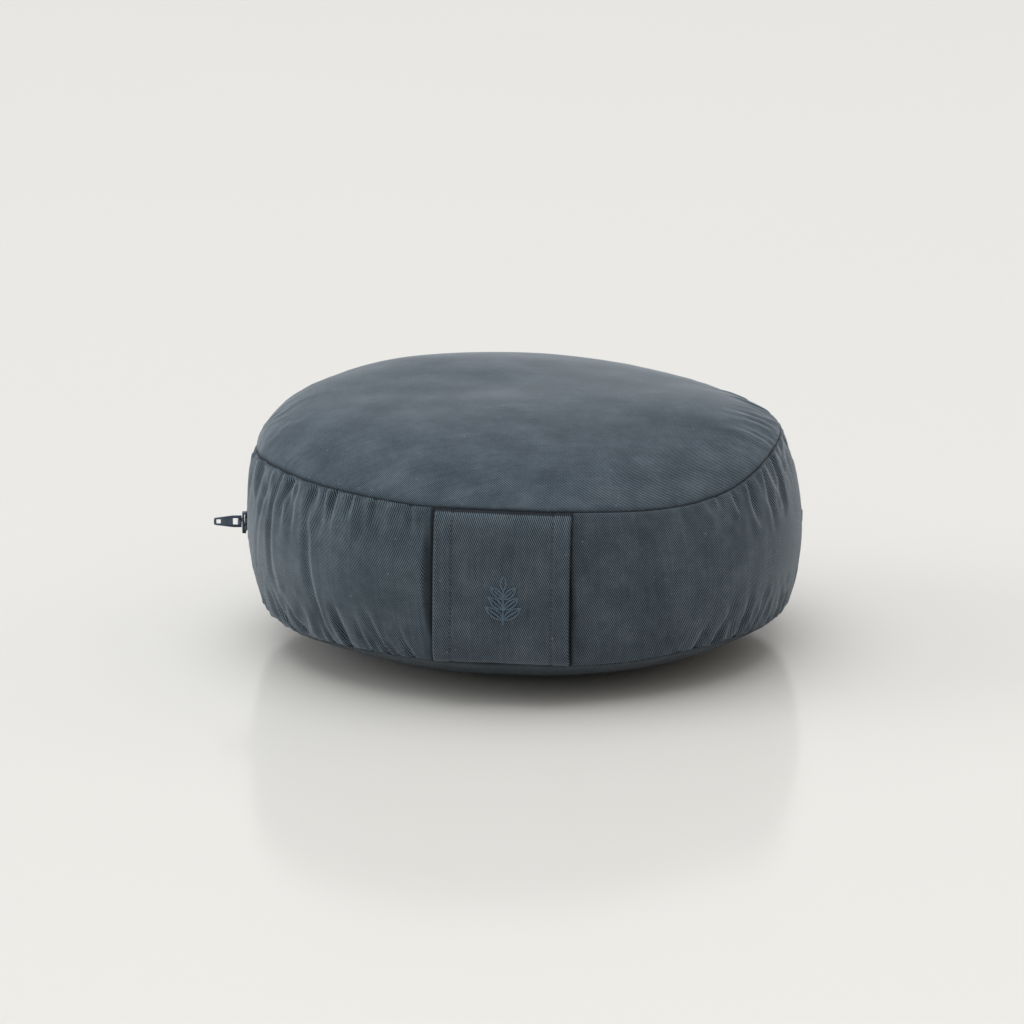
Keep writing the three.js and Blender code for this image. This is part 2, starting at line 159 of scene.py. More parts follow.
def seam_points(phi, top):
    """The seam as points: its ring, shifted by its lean, at its own height."""
    radius = seam_ring(phi, top)
    lean = CROWN_LEAN if top else FOOT_LEAN
    rise = around(phi, TOP_SEAM_RISE if top else BOTTOM_SEAM_RISE)
    height = (TOP_SEAM if top else BOTTOM_SEAM) + rise
    return np.stack([radius * np.sin(phi) - lean * math.cos(math.radians(VIEW_TURN)),
                     -radius * np.cos(phi) - lean * math.sin(math.radians(VIEW_TURN)),
                     height], -1)


def at_back(phi):
    """1 where the zip is, fading to 0 at the front."""
    return smooth_step(np.degrees(np.abs(phi)), 58, 78)


def band_form(share, phi):
    """The side band: straight between the two seams, swelled outwards by a sine of the
    share of its height, and pressed flat behind the handle, so that it stands proud on
    both sides. Round the back it passes through the zip's radius at mid-height."""
    low = seam_points(phi, False)
    high = seam_points(phi, True)
    share = share[:, None]
    points = low[None] + (high - low)[None] * share[..., None]
    arch = np.sin(math.pi * share ** ARCH_SKEW) ** ARCH_POWER
    plain = np.hypot(points[..., 0], points[..., 1])
    middle = np.linalg.norm((low[:, :2] + high[:, :2]) / 2, axis=-1)
    swell = around(phi, BAND_SWELL)
    swell = swell + at_back(phi) * (BAND_RADIUS - middle - swell)
    flat = (SEAM_RADIUS + FRONT_FLAT) / np.maximum(np.cos(phi), 0.2)
    beside = np.abs(plain * np.sin(phi) - STRAP_SHIFT) - STRAP_HALF
    flat = flat + FLAT_STEP * smooth_step(beside, -1.0, 7.0)
    radius = soft_least(plain + swell * arch, np.maximum(flat, plain), width=2.0)
    points[..., :2] *= (radius / plain)[..., None]
    return points


def crown_form(share, phi):
    """The top panel, from its centre at share 0 to its seam at share 1: a superellipse
    in height whose powers change with the angle, so one side is fuller."""
    rim = seam_points(phi, True)
    share = share[:, None]
    centre = np.array([-CROWN_LEAN, 0.0, 0.0])
    points = centre + (rim - centre)[None] * share[..., None]
    fullness = around(phi, CROWN_FULLNESS, 25)
    roundness = around(phi, CROWN_ROUNDNESS, 25)
    rise = (1 - share ** fullness) ** (1 / roundness)
    points[..., 2] = rim[None, :, 2] + (HEIGHT + CROWN_OVER - rim[None, :, 2]) * rise
    for x, y, width, height in CROWN_SWELLS:
        away = ((points[..., 0] - x) ** 2 + (points[..., 1] - y) ** 2) / width ** 2
        points[..., 2] += height * np.exp(-away) * (1 - share ** 6)
    return points


def foot_form(share, phi):
    """The bottom panel: flat where it rests, then a shallow bowl up to its seam."""
    rim = seam_points(phi, False)
    share = share[:, None]
    points = rim[None] * share[..., None]
    edge = REST_RADIUS / SEAM_RADIUS
    climb = np.clip((share - edge) / (1 - edge), 0, 1)
    points[..., 2] = rim[None, :, 2] * climb ** around(phi, FOOT_FULLNESS, 15)
    return points


def flattened(points):
    """Where the points of a panel lie on its flat cloth: each ring becomes a circle whose
    radius is the mean length of cloth from the panel's centre."""
    steps = np.linalg.norm(np.diff(points, axis=0), axis=-1).mean(1)
    lengths = np.concatenate([[0], np.cumsum(steps)])
    if np.ptp(points[0, :, 0]) > np.ptp(points[-1, :, 0]):
        lengths = lengths[-1] - lengths + np.ptp(points[-1, :, 0]) / 2
    else:
        lengths = lengths + np.ptp(points[0, :, 0]) / 2
    phi = np.linspace(-math.pi, math.pi, points.shape[1], endpoint=False)
    circle = np.stack([np.sin(phi), -np.cos(phi)], -1)
    turn = np.array([[math.cos(CROWN_TURN), -math.sin(CROWN_TURN)],
                     [math.sin(CROWN_TURN), math.cos(CROWN_TURN)]])
    return (lengths[:, None, None] * circle[None]) @ turn


# ---- settling the cover as cloth ------------------------------------------------

SETTLING_COLUMNS = 480
SETTLING_ROWS = 46
SETTLING_FRAMES = 20
LONG_WAVE = 22                    # waves round the ring up to this one keep the chosen form
SHORT_WAVE = 150                  # waves above this one are too short for a fold of cloth
CROWN_START = 0.45                # the top panel settles from this share of its radius

# How strongly the cloth is gathered on to each seam, from 0 to 1, at some angles.
TOP_CROWD = [(-178, 0.7), (-120, 0.8), (-85, 0.9), (-60, 1.0), (-40, 1.0), (-24, 0.8),
             (-17, 0.3), (12, 0.0), (30, 0.05), (45, 0.4), (62, 0.8), (80, 0.9),
             (110, 0.8), (150, 0.7)]
FOOT_CROWD = [(-178, 0.6), (-110, 0.8), (-70, 1.0), (-45, 0.9), (-22, 0.6), (-12, 0.1),
              (12, 0.0), (30, 0.3), (42, 0.8), (60, 0.9), (85, 0.7), (140, 0.6)]
CROWN_CROWD = [(-178, 0.3), (-120, 0.3), (-85, 0.25), (-60, 0.06), (0, 0.0), (45, 0.02),
               (62, 0.12), (78, 0.45), (105, 0.45), (130, 0.3)]


def outward(points):
    """Unit normals of a grid of rings, from its neighbours' places."""
    across = np.roll(points, -1, 1) - np.roll(points, 1, 1)
    up = np.gradient(points, axis=0)
    normal = np.cross(across, up)
    return normal / np.maximum(np.linalg.norm(normal, axis=-1, keepdims=True), 1e-9)


def ring_quads(rows, columns):
    """Corner numbers of the quads between rings of points that close on themselves."""
    row, column = np.meshgrid(np.arange(rows - 1), np.arange(columns), indexing="ij")
    near = row * columns + column
    far = row * columns + (column + 1) % columns
    return np.stack([near, far, far + columns, near + columns], -1).reshape(-1, 4)


def slack_group(body, slack, levels=24):
    """A vertex group that holds each point's slack, as 1 for none and 0 for the most."""
    group = body.vertex_groups.new(name="slack")
    steps = np.rint((1 - slack.ravel()) * levels).astype(int)
    for level in range(levels + 1):
        group.add(np.flatnonzero(steps == level).tolist(), level / levels, "REPLACE")


def settled(points, slack, most_slack, pressure, cap, seed):
    """How far each point of a panel moves when it is let go as cloth. The cloth is longer
    than the form by most_slack where slack is 1, is held along its first and last rows,
    and is blown up from inside, so its spare length goes into folds. Only the folds are
    kept, none deeper than the cap: the form round the ring stays as chosen."""
    rows, columns = points.shape[:2]
    draw = np.random.default_rng(seed)
    ripple = draw.normal(size=(rows, columns))
    ripple += np.roll(ripple, 1, 1) + np.roll(ripple, -1, 1)
    for _ in range(6):
        ripple[1:-1] = (2 * ripple[1:-1] + ripple[:-2] + ripple[2:]) / 4
    ripple[[0, -1]] = 0
    start = points + outward(points) * (0.3 * ripple * slack)[..., None]
    mesh = bpy.data.meshes.new("settling")
    mesh.from_pydata((start.reshape(-1, 3) * MM).tolist(), [],
                     ring_quads(rows, columns).tolist())
    body = bpy.data.objects.new("settling", mesh)
    bpy.context.scene.collection.objects.link(body)
    held = body.vertex_groups.new(name="held")
    held.add(list(range(columns)) + list(range((rows - 1) * columns, rows * columns)),
             1.0, "REPLACE")
    slack_group(body, slack)
    cloth = body.modifiers.new("Cloth", "CLOTH")
    use = cloth.settings
    use.vertex_group_mass = "held"
    use.vertex_group_shrink = "slack"
    use.shrink_min = -most_slack
    use.shrink_max = 0
    use.quality = 6
    use.mass = 0.3
    use.tension_stiffness = 15
    use.compression_stiffness = 15
    use.bending_stiffness = 1.5
    use.air_damping = 1
    use.use_pressure = True
    use.uniform_pressure_force = pressure
    use.effector_weights.gravity = 0
    cloth.collision_settings.use_collision = False
    cloth.collision_settings.use_self_collision = False
    cloth.point_cache.frame_end = SETTLING_FRAMES
    for step in range(1, SETTLING_FRAMES + 1):
        bpy.context.scene.frame_set(step)
    shape = body.evaluated_get(bpy.context.evaluated_depsgraph_get()).data
    moved = np.empty(rows * columns * 3)
    shape.vertices.foreach_get("co", moved)
    bpy.data.objects.remove(body)
    bpy.context.scene.frame_set(1)
    spectrum = np.fft.rfft(moved.reshape(points.shape) / MM - points, axis=1)
    wave = np.arange(spectrum.shape[1])[None, :, None]
    spectrum *= np.clip((wave - LONG_WAVE) / 8, 0, 1) * np.clip((SHORT_WAVE - wave) / 60, 0, 1)
    move = np.fft.irfft(spectrum, columns, axis=1)
    move *= np.clip(slack * 3, 0, 1)[..., None]
    length = np.linalg.norm(move, axis=-1, keepdims=True)
    return move * np.minimum(1, cap / np.maximum(length, 1e-9))


def finer(values, old_shares, new_shares, columns):
    """Values on a coarse grid of rings read on a finer one: exact for the waves round
    the ring, and cubic (Catmull-Rom) from row to row."""
    spectrum = np.fft.rfft(values, axis=1)
    fine = np.fft.irfft(spectrum, columns, axis=1) * (columns / values.shape[1])
    place = np.interp(new_shares, old_shares, np.arange(len(old_shares)))
    base = np.clip(place.astype(int), 0, len(old_shares) - 2)
    t = (place - base)[:, None, None]
    at = [fine[np.clip(base + k, 0, len(old_shares) - 1)] for k in (-1, 0, 1, 2)]
    return 0.5 * (2 * at[1] + (at[2] - at[0]) * t
                  + (2 * at[0] - 5 * at[1] + 4 * at[2] - at[3]) * t ** 2
                  + (3 * at[1] - at[0] - 3 * at[2] + at[3]) * t ** 3)


def settling_angles():
    return np.linspace(-math.pi, math.pi, SETTLING_COLUMNS, endpoint=False)


def settle_band():
    """The band's folds. Its cloth is longest near the two seams it is gathered on to."""
    shares = np.linspace(0, 1, SETTLING_ROWS)
    phi = settling_angles()
    near_top = np.exp(-((1 - shares) / 0.36) ** 2)[:, None]
    near_foot = np.exp(-(shares / 0.30) ** 2)[:, None]
    slack = (near_top * around(phi, TOP_CROWD, 3) + near_foot * around(phi, FOOT_CROWD, 3))
    slack = np.clip(slack, 0, 1)
    return shares, settled(band_form(shares, phi), slack, most_slack=0.055, pressure=20,
                           cap=2.2, seed=3)


def settle_crown():
    """The top panel's folds, which leave its seam and soon fade."""
    shares = np.linspace(CROWN_START, 1, SETTLING_ROWS)
    phi = settling_angles()
    slack = np.exp(-((1 - shares) / 0.12) ** 2)[:, None] * around(phi, CROWN_CROWD, 3)
    slack = np.clip(slack, 0, 1)
    return shares, settled(crown_form(shares, phi), slack, most_slack=0.04, pressure=12,
                           cap=0.6, seed=4)


# ---- folds along the seams ------------------------------------------------------

def gathers(phi, away, crowd, seed, spacing, depth, run):
    """Folds that leave a seam. Each is a valley with a soft ridge on both sides, set at
    random along the seam, that drifts sideways and fades with the distance away."""
    draw = np.random.default_rng(seed)
    along = phi * SEAM_RADIUS
    length = 2 * math.pi * SEAM_RADIUS
    height = np.zeros((away.shape[0], phi.size))
    place = -length / 2
    while place < length / 2:
        here = float(around(np.array([place / SEAM_RADIUS]), crowd, 3)[0])
        strength = depth * here * draw.uniform(0.35, 1.15)
        width = draw.uniform(0.30, 0.52) * spacing
        fade = run * draw.uniform(0.35, 1.3) * (0.5 + 0.6 * here)
        drift = draw.normal(0, 0.10)
        curl = draw.normal(0, 0.0016)
        side = along[None] - place - drift * away - curl * away ** 2
        side = (side + length / 2) % length - length / 2
        share = side / (width * (1 + away / 45))
        height -= strength * (1 - 1.4 * share ** 2) * np.exp(-share ** 2) * np.exp(
            -(away / fade) ** 1.4)
        place += spacing * draw.uniform(0.55, 1.35)
    return height


def all_gathers(phi, away, crowd, sets):
    """The sets of folds along one seam, added up."""
    return sum(gathers(phi, away, crowd, *one) for one in sets)


# The sets of small folds that leave each seam: seed, spacing, depth and run.
TOP_GATHERS = [(11, 10.5, 0.55, 34), (12, 6.0, 0.35, 12)]
FOOT_GATHERS = [(21, 9.5, 0.55, 26), (22, 6.0, 0.35, 10)]
CROWN_GATHERS = [(31, 7.0, 0.6, 13), (32, 4.5, 0.3, 7)]
UNDER_GATHERS = [(41, 9.0, 0.7, 18)]

# The folds that catch the eye: their path as angle and height, then their half width
# and depth. The first point of each path is at the seam, where the fold is deepest.
BAND_FOLDS = [
    ([(-61.9, 117), (-63.5, 102), (-71.1, 34)], 3.4, 1.0),
    ([(-57.1, 117), (-58.9, 99), (-58.8, 60), (-56.8, 42)], 3.2, 1.5),
    ([(-52.1, 117), (-54.5, 104), (-54.2, 88)], 2.8, 1.5),
    ([(-49.1, 117), (-50.2, 107), (-50.1, 84)], 2.4, 0.9),
    ([(-43.4, 118), (-44.9, 105), (-44.1, 88), (-44.1, 54), (-43.5, 31)], 3.2, 1.1),
    ([(-40.2, 119), (-40.2, 106)], 2.0, 1.1),
    ([(-37.3, 119), (-37.8, 111), (-37.9, 94)], 2.4, 1.6),
    ([(-32.5, 119), (-33.1, 104)], 2.2, 1.3),
    ([(-26.7, 119), (-27.0, 100)], 2.2, 1.3),
    ([(-18.4, 119), (-17.4, 98)], 2.4, 1.3),
    ([(-54.2, 24), (-57.9, 33), (-61.0, 50)], 2.8, 1.5),
    ([(-48.5, 25), (-51.6, 31), (-54.8, 44)], 2.6, 1.3),
    ([(-41.1, 25), (-42.6, 44), (-44.1, 74)], 2.6, 1.4),
    ([(-35.8, 25), (-37.0, 37), (-37.6, 54)], 2.6, 1.7),
    ([(-29.9, 25), (-31.0, 33), (-32.5, 48)], 2.3, 1.3),
    ([(-25.6, 25), (-27.3, 38), (-29.5, 56)], 2.5, 1.7),
    ([(-23.0, 25), (-24.2, 30), (-25.8, 40)], 2.0, 1.2),
    ([(-19.7, 25), (-20.7, 33), (-22.2, 48)], 2.4, 1.5),
    ([(75.5, 124), (76.0, 109), (74.1, 90)], 3.0, 1.5),
    ([(69.6, 119), (68.9, 103), (68.6, 84)], 3.0, 1.6),
    ([(62.9, 115), (62.7, 106), (62.9, 92)], 2.6, 1.4),
    ([(57.0, 114), (57.2, 100)], 2.2, 1.3),
    ([(52.2, 114), (52.0, 104)], 2.2, 1.0),
    ([(39.1, 22), (41.2, 33), (43.0, 44)], 2.8, 1.0),
    ([(43.4, 22), (46.2, 39), (47.2, 52)], 2.8, 1.7),
    ([(48.6, 22), (51.6, 42), (52.6, 52)], 3.0, 1.7),
    ([(56.0, 21), (57.9, 41), (58.2, 56)], 2.8, 1.7),
    ([(61.0, 20), (63.5, 37), (64.0, 52)], 2.8, 1.5),
]


def placed_folds(phi, height, folds):
    """The listed folds of the band. Each is a valley with ridges beside it along its
    own path, deepest at its first point and fading out past its last."""
    total = np.zeros(height.shape)
    for path, width, depth in folds:
        angles, heights = np.array(path).T
        order = np.argsort(heights)
        centre = np.interp(height, heights[order], angles[order])
        side = np.radians(np.degrees(phi)[None] - centre) * (SEAM_RADIUS + 9)
        run = abs(heights[-1] - heights[0])
        along = (heights[0] - height) * np.sign(heights[0] - heights[-1]) / run
        open_out = np.clip(along, 0, 1.5)
        share = side / (width * (1 + 0.7 * open_out))
        fade = smooth_step(along, -0.10, 0.02) * (1 - smooth_step(along, 0.35, 1.25))
        total -= depth * fade * (1 - 1.3 * share ** 2) * np.exp(-share ** 2)
    return total


# ---- the closed cover -----------------------------------------------------------

ROW_STEP = 1.4                    # between two rings of the cover, away from its seams
GROOVE_DEPTH = 4.2                # the cover sinks this far between the zip's two edges
ZIP_END = 100.0                   # from straight back to the zip's end beside the slider
ZIP_FAR_END = 82.0                # from straight back to its other end
SEAM_DEPTH = 1.3                  # the crease along a seam, deepest at the seam itself
SEAM_WIDTH = 0.75                 # how soon that crease fades
UNDER_SHADE = 0.74                # painted shade under the bottom, where 1 is the painted shade in a seam's crease
# Painted shade beside the handle: the cover is as dark as a crease up to the first
# distance, and no darker than elsewhere from the second.
LEFT_GAP_SHADE = (1.0, 4.0)
RIGHT_GAP_SHADE = (0.4, 2.4)
# By the handle's left edge the cover is also brushed smooth, up to this height from the
# middle of the band.
SMOOTH_GAP = (3.0, 8.0)
SMOOTH_HEIGHT = 46
TOPSTITCH_INSET = 3.0             # from the slot's edge to the seam beside it
CROWN_TURN = math.radians(-71.6)  # the panels are cut with their cloth turned by this


def seam_rows(length, step):
    """Distances from a seam: close rows in the crease, then even ones."""
    close = [0.0, 0.35, 0.8, 1.4, 2.2, 3.2, 4.4]
    count = max(2, round((length - close[-1]) / step))
    return np.array(close[:-1] + list(np.linspace(close[-1], length, count + 1)))


def band_rows():
    """Shares of the band's height: close rows at both seams and at the zip's two edges."""
    length = TOP_SEAM - BOTTOM_SEAM
    low_edge = MIDDLE - SLOT_HALF - BOTTOM_SEAM
    high_edge = low_edge + 2 * SLOT_HALF
    offsets = np.array([-4.2, -3.6, -3.0, -2.4, -1.8, -1.1, -0.5, 0.0, 0.5, 1.0, 1.6])
    below = seam_rows(low_edge - 5.0, ROW_STEP)
    above = length - seam_rows(length - high_edge - 5.0, ROW_STEP)[::-1]
    floor = np.linspace(low_edge + 3.0, high_edge - 3.0, 6)
    rows = [below, low_edge + offsets, floor, high_edge - offsets[::-1], above]
    return np.concatenate(rows) / length


def ring_columns(radius):
    """How many points a panel's ring has: halved as it gets smaller."""
    count = COLUMNS
    while count > 50 and radius / SEAM_RADIUS < 0.62 * count / COLUMNS:
        count //= 2
    return count


def panel_rows(step):
    """Shares of a panel's radius, from its seam to its centre."""
    outer = seam_rows(SEAM_RADIUS * 0.40, step) / SEAM_RADIUS
    inner = np.arange(0.40 + 2 * step / SEAM_RADIUS, 0.98, 2 * step / SEAM_RADIUS)
    return 1 - np.concatenate([outer, inner])


def zip_span(phi):
    """1 along the zip, round the back, and 0 elsewhere."""
    turn = 180 - np.degrees(np.abs(phi))
    return np.clip((np.where(phi < 0, ZIP_END, ZIP_FAR_END) - turn) / 0.6, 0, 1)


def zip_groove(height, phi):
    """How deep the cover sinks between the zip's two fabric edges: a rounded step down
    to a flat floor, and a shallow line where each edge is stitched down."""
    gap = SLOT_HALF - np.abs(height - MIDDLE)
    depth = GROOVE_DEPTH * np.clip(gap / 1.2 + 0.35, 0, 1) ** 1.5
    depth += 0.5 * np.exp(-((gap + TOPSTITCH_INSET) / 0.7) ** 2)
    return depth * zip_span(phi)[None]


def near_zip(height, phi):
    """How freely the band folds: 0 beside the zip, which holds it flat, and 1 away."""
    hold = np.exp(-((height - MIDDLE) / 15) ** 4) * at_back(phi)[None]
    return 1 - hold


def cover_points():
    """Every ring of the cover at full resolution, from the bottom's centre over the band
    to the crown's centre: its points, its panel and its share of that panel, how much
    painted shade darkens the cloth at each point, and where the point lies on the
    panel's flat cloth."""
    phi = np.linspace(-math.pi, math.pi, COLUMNS, endpoint=False)
    foot_shares = panel_rows(ROW_STEP * 1.3)[::-1]
    band_shares = band_rows()
    crown_shares = panel_rows(ROW_STEP)
    band_length = TOP_SEAM - BOTTOM_SEAM
    foot = foot_form(foot_shares, phi)
    band = band_form(band_shares, phi)
    crown = crown_form(crown_shares, phi)
    free = near_zip(band[..., 2], phi)
    shares, move = settle_band()
    band += finer(move, shares, band_shares, COLUMNS) * free[..., None]
    shares, move = settle_crown()
    inside = np.clip((crown_shares - CROWN_START) * 6, 0, 1)[:, None, None]
    crown += inside * finer(move, shares, np.maximum(crown_shares, CROWN_START), COLUMNS)

    # distance from the seams, in millimetres
    from_low = (band_shares * band_length)[:, None]
    from_high = band_length - from_low
    band_fold = (all_gathers(phi, from_high, TOP_CROWD, TOP_GATHERS)
                 + all_gathers(phi, from_low, FOOT_CROWD, FOOT_GATHERS))
    band_fold += placed_folds(phi, band[..., 2], BAND_FOLDS)
    band_fold *= free
    from_rim = ((1 - crown_shares) * SEAM_RADIUS)[:, None]
    crown_fold = all_gathers(phi, from_rim, CROWN_CROWD, CROWN_GATHERS)
    foot_rim = ((1 - foot_shares) * SEAM_RADIUS)[:, None]
    foot_fold = all_gathers(phi, foot_rim, FOOT_CROWD, UNDER_GATHERS)
    foot_fold *= np.clip(foot[..., 2] / 6, 0, 1)

    def seam(away):
        return SEAM_DEPTH * np.exp(-away / SEAM_WIDTH)

    crease = np.concatenate([np.broadcast_to(seam(foot_rim), foot_fold.shape),
                             np.broadcast_to(seam(from_low) + seam(from_high),
                                             band_fold.shape)[1:-1],
                             np.broadcast_to(seam(from_rim), crown_fold.shape)])
    folds = np.concatenate([foot_fold, band_fold[1:-1], crown_fold])
    grooves = np.concatenate([0 * foot_fold, zip_groove(band[..., 2], phi)[1:-1],
                              0 * crown_fold])
    points = np.concatenate([foot, band[1:-1], crown])
    lumps = smooth_noise(*np.moveaxis(points, -1, 0), 75, 5) * 0.7
    lumps += smooth_noise(*np.moveaxis(points, -1, 0), 28, 6) * 0.2
    lumps *= np.clip(points[..., 2] / 15, 0, 1)
    lumps *= np.concatenate([0 * foot_fold + 1, free[1:-1], 0 * crown_fold + 1])
    normal = outward(points)
    moved = points + normal * (folds + lumps - crease - grooves)[..., None]
    moved[..., 2] = np.maximum(moved[..., 2], np.where(points[..., 2] < 0.02, 0.0, 0.05))
    panel = np.repeat([0, 1, 2], [len(foot_shares) - 1, len(band_shares) - 1,
                                  len(crown_shares)])
    shares = np.concatenate([foot_shares, band_shares[1:-1], crown_shares])
    flat = np.concatenate([flattened(foot), np.zeros(band[1:-1].shape[:2] + (2,)),
                           flattened(crown)])
    # Painted shade, read by the material as the 'crease' value: darker in each seam's crease,
    # following the crease's depth.
    shade = crease / SEAM_DEPTH
    # Painted shade over the whole bottom.
    shade[:len(foot_shares) - 1] = np.maximum(shade[:len(foot_shares) - 1], UNDER_SHADE)
    # Painted shade on the band beside the handle, wider at its left edge.
    aside = points[..., 0] - STRAP_SHIFT
    left_gap_shade = 1 - smooth_step(-aside - STRAP_HALF, *LEFT_GAP_SHADE)
    right_gap_shade = 1 - smooth_step(aside - STRAP_HALF, *RIGHT_GAP_SHADE)
    gap = np.minimum(left_gap_shade, right_gap_shade) * (points[..., 1] < 0)
    shade = np.where(panel[:, None] == 1, np.maximum(shade, gap), shade)
    return moved, panel, shares, shade, flat


def finished_mesh(name, places, faces, flat=None, values=None):
    """A smooth-shaded object from points in millimetres, with a map of its flat cloth and
    named values on its points if they are given."""
    mesh = bpy.data.meshes.new(name)
    mesh.from_pydata((np.asarray(places) * MM).tolist(), [], faces)
    if flat is not None:
        mesh.uv_layers.new(name="cloth").data.foreach_set("uv", flat.ravel())
    for key, value in (values or {}).items():
        mesh.attributes.new(key, "FLOAT", "POINT").data.foreach_set("value", value)
    mesh.polygons.foreach_set("use_smooth", np.ones(len(faces), bool))
    mesh.update()
    body = bpy.data.objects.new(name, mesh)
    bpy.context.scene.collection.objects.link(body)
    return body


def cover_mesh():
    """The cover as one closed mesh: quads between rings with the same count, five-sided
    faces where a ring has half as many points, and one face at each centre. The map is
    the place on each panel's flat cloth, in metres."""
    points, panel, shares, crease, cut = cover_points()
    counts = [COLUMNS if kind == 1 else ring_columns(share * SEAM_RADIUS)
              for kind, share in zip(panel, shares)]
    starts = np.concatenate([[0], np.cumsum(counts)])
    thinned = [COLUMNS // count for count in counts]
    places = np.concatenate([ring[::step] for ring, step in zip(points, thinned)])
    crease_shades = np.concatenate([ring[::step] for ring, step in zip(crease, thinned)])
    cuts = np.concatenate([ring[::step] for ring, step in zip(cut, thinned)])
    faces, maps = [], []
    girth = 2 * math.pi * (SEAM_RADIUS + 8)
    band_length = TOP_SEAM - BOTTOM_SEAM

    def add(ring_of, column_of, kind):
        """Faces from arrays of (face, corner): the ring and the column of each corner."""
        size = np.array(counts)[ring_of]
        index = starts[ring_of] + column_of % size
        faces.extend(index.tolist())
        if kind == 1:
            climb = np.where(panel[ring_of] == 1, shares[ring_of], 0.0)
            climb = np.where(panel[ring_of] == 2, 1.0, climb)
            flat = np.stack([girth * column_of / size, band_length * climb], -1)
        else:
            flat = cuts[index]
        maps.append(flat.reshape(-1, 2) * MM)

    for ring in range(len(counts) - 1):
        here, there = counts[ring], counts[ring + 1]
        kind = 1 if panel[ring] == 1 or panel[ring + 1] == 1 else panel[ring]
        if here == there:
            j = np.arange(here)
            rings = np.broadcast_to([ring, ring, ring + 1, ring + 1], (here, 4))
            add(rings, np.stack([j, j + 1, j + 1, j], -1), kind)
        elif here > there:
            j = np.arange(there)
            rings = np.broadcast_to([ring, ring, ring, ring + 1, ring + 1], (there, 5))
            add(rings, np.stack([2 * j, 2 * j + 1, 2 * j + 2, j + 1, j], -1), kind)
        else:
            j = np.arange(here)
            rings = np.broadcast_to([ring, ring, ring + 1, ring + 1, ring + 1], (here, 5))
            add(rings, np.stack([j, j + 1, 2 * j + 2, 2 * j + 1, 2 * j], -1), kind)
    out = np.hypot(places[:, 0], places[:, 1])
    worn = RIM_WEAR + (1 - RIM_WEAR) * np.exp(-(out / WORN_RADIUS) ** 4)
    worn *= places[:, 2] > TOP_SEAM
    beside = STRAP_SHIFT - places[:, 0] - STRAP_HALF
    tucked = (1 - smooth_step(beside, *SMOOTH_GAP)) * (beside > -4) * (places[:, 1] < 0)
    worn = np.maximum(worn, tucked * (np.abs(places[:, 2] - MIDDLE) < SMOOTH_HEIGHT))
    last = len(counts) - 1
    add(np.full((1, counts[last]), last), np.arange(counts[last])[None], 2)
    add(np.zeros((1, counts[0]), int), np.arange(counts[0])[::-1][None], 0)
    return finished_mesh("cushion_cover", places, faces, np.concatenate(maps),
                         {"crease": crease_shades, "worn": worn})


LINER_INSET = 5.0                 # from the cover's form to the liner
HULL_INSET = 5.9                  # and to the filling inside it
LINER_FLOOR = 1.3                 # the liner's lowest point
PROFILE_LENGTH = 430              # of cloth, about, from centre to centre over the band


def inner_form(name, inset, columns=160):
    """A closed form that follows the cover's at a distance inside it: rings of quads with
    one face at each centre, and a map in metres."""
    phi = np.linspace(-math.pi, math.pi, columns, endpoint=False)
    points = np.concatenate([foot_form(np.linspace(0.06, 1, 16), phi)[:-1],
                             band_form(np.linspace(0, 1, 20), phi),
                             crown_form(np.linspace(1, 0.06, 16), phi)[1:]])
    points = points - outward(points) * inset
    lowest = LINER_FLOOR + (inset - LINER_INSET)
    points[..., 2] = np.maximum(points[..., 2], lowest)
    rows = points.shape[0]
    faces = ring_quads(rows, columns).tolist()
    flat = np.stack([phi[None] * SEAM_RADIUS + 0 * points[..., 0],
                     np.linspace(0, PROFILE_LENGTH, rows)[:, None] + 0 * points[..., 0]],
                    -1)
    corners_of = np.array(faces)
    maps = flat.reshape(-1, 2)[corners_of.ravel()] * MM
    wrap = (corners_of % columns == 0) & ((corners_of % columns).max(1) == columns - 1)[:, None]
    maps[wrap.ravel(), 0] += 2 * math.pi * SEAM_RADIUS * MM
    faces.append(list(range((rows - 1) * columns, rows * columns)))
    faces.append(list(range(columns))[::-1])
    caps = points.reshape(-1, 3)[faces[-2] + faces[-1], :2] * MM
    return finished_mesh(name, points.reshape(-1, 3), faces, np.concatenate([maps, caps]))


# ---- carry handle ---------------------------------------------------------------

STRAP_THICKNESS = 2.0
HEM_INSET = 10.5                  # from the handle's edge to its row of stitches
STITCH_PITCH = 3.5
TOP_TUCK = 0.9                    # the handle's upper end lies this far below the top seam
FOOT_TUCK = 1.2                   # and its lower end this far above the bottom seam
STRAP_LEAN = 0.6                  # its ends lie this far right at the top, left at the foot
END_SHADE = (1.7, 0.6)            # painted shade from its ends: where it starts to darken, and is dark
EDGE_SHADE = (0.8, 0.2)           # painted shade, the same from its long edges
strap_top = seam_points(np.zeros(1), True)[0, 2] - TOP_TUCK
strap_foot = seam_points(np.zeros(1), False)[0, 2] + FOOT_TUCK
strap_reach = (strap_top - strap_foot) / 2


def sewn_end(x, upper):
    """How far back and how high the handle's end lies at a place across it, where it is
    sewn into the round seam."""
    phi = np.linspace(-0.35, 0.35, 71)
    ring = seam_points(phi, upper)
    shift = -TOP_TUCK if upper else FOOT_TUCK
    return (np.interp(x, ring[:, 0], ring[:, 1]), np.interp(x, ring[:, 0], ring[:, 2] + shift))


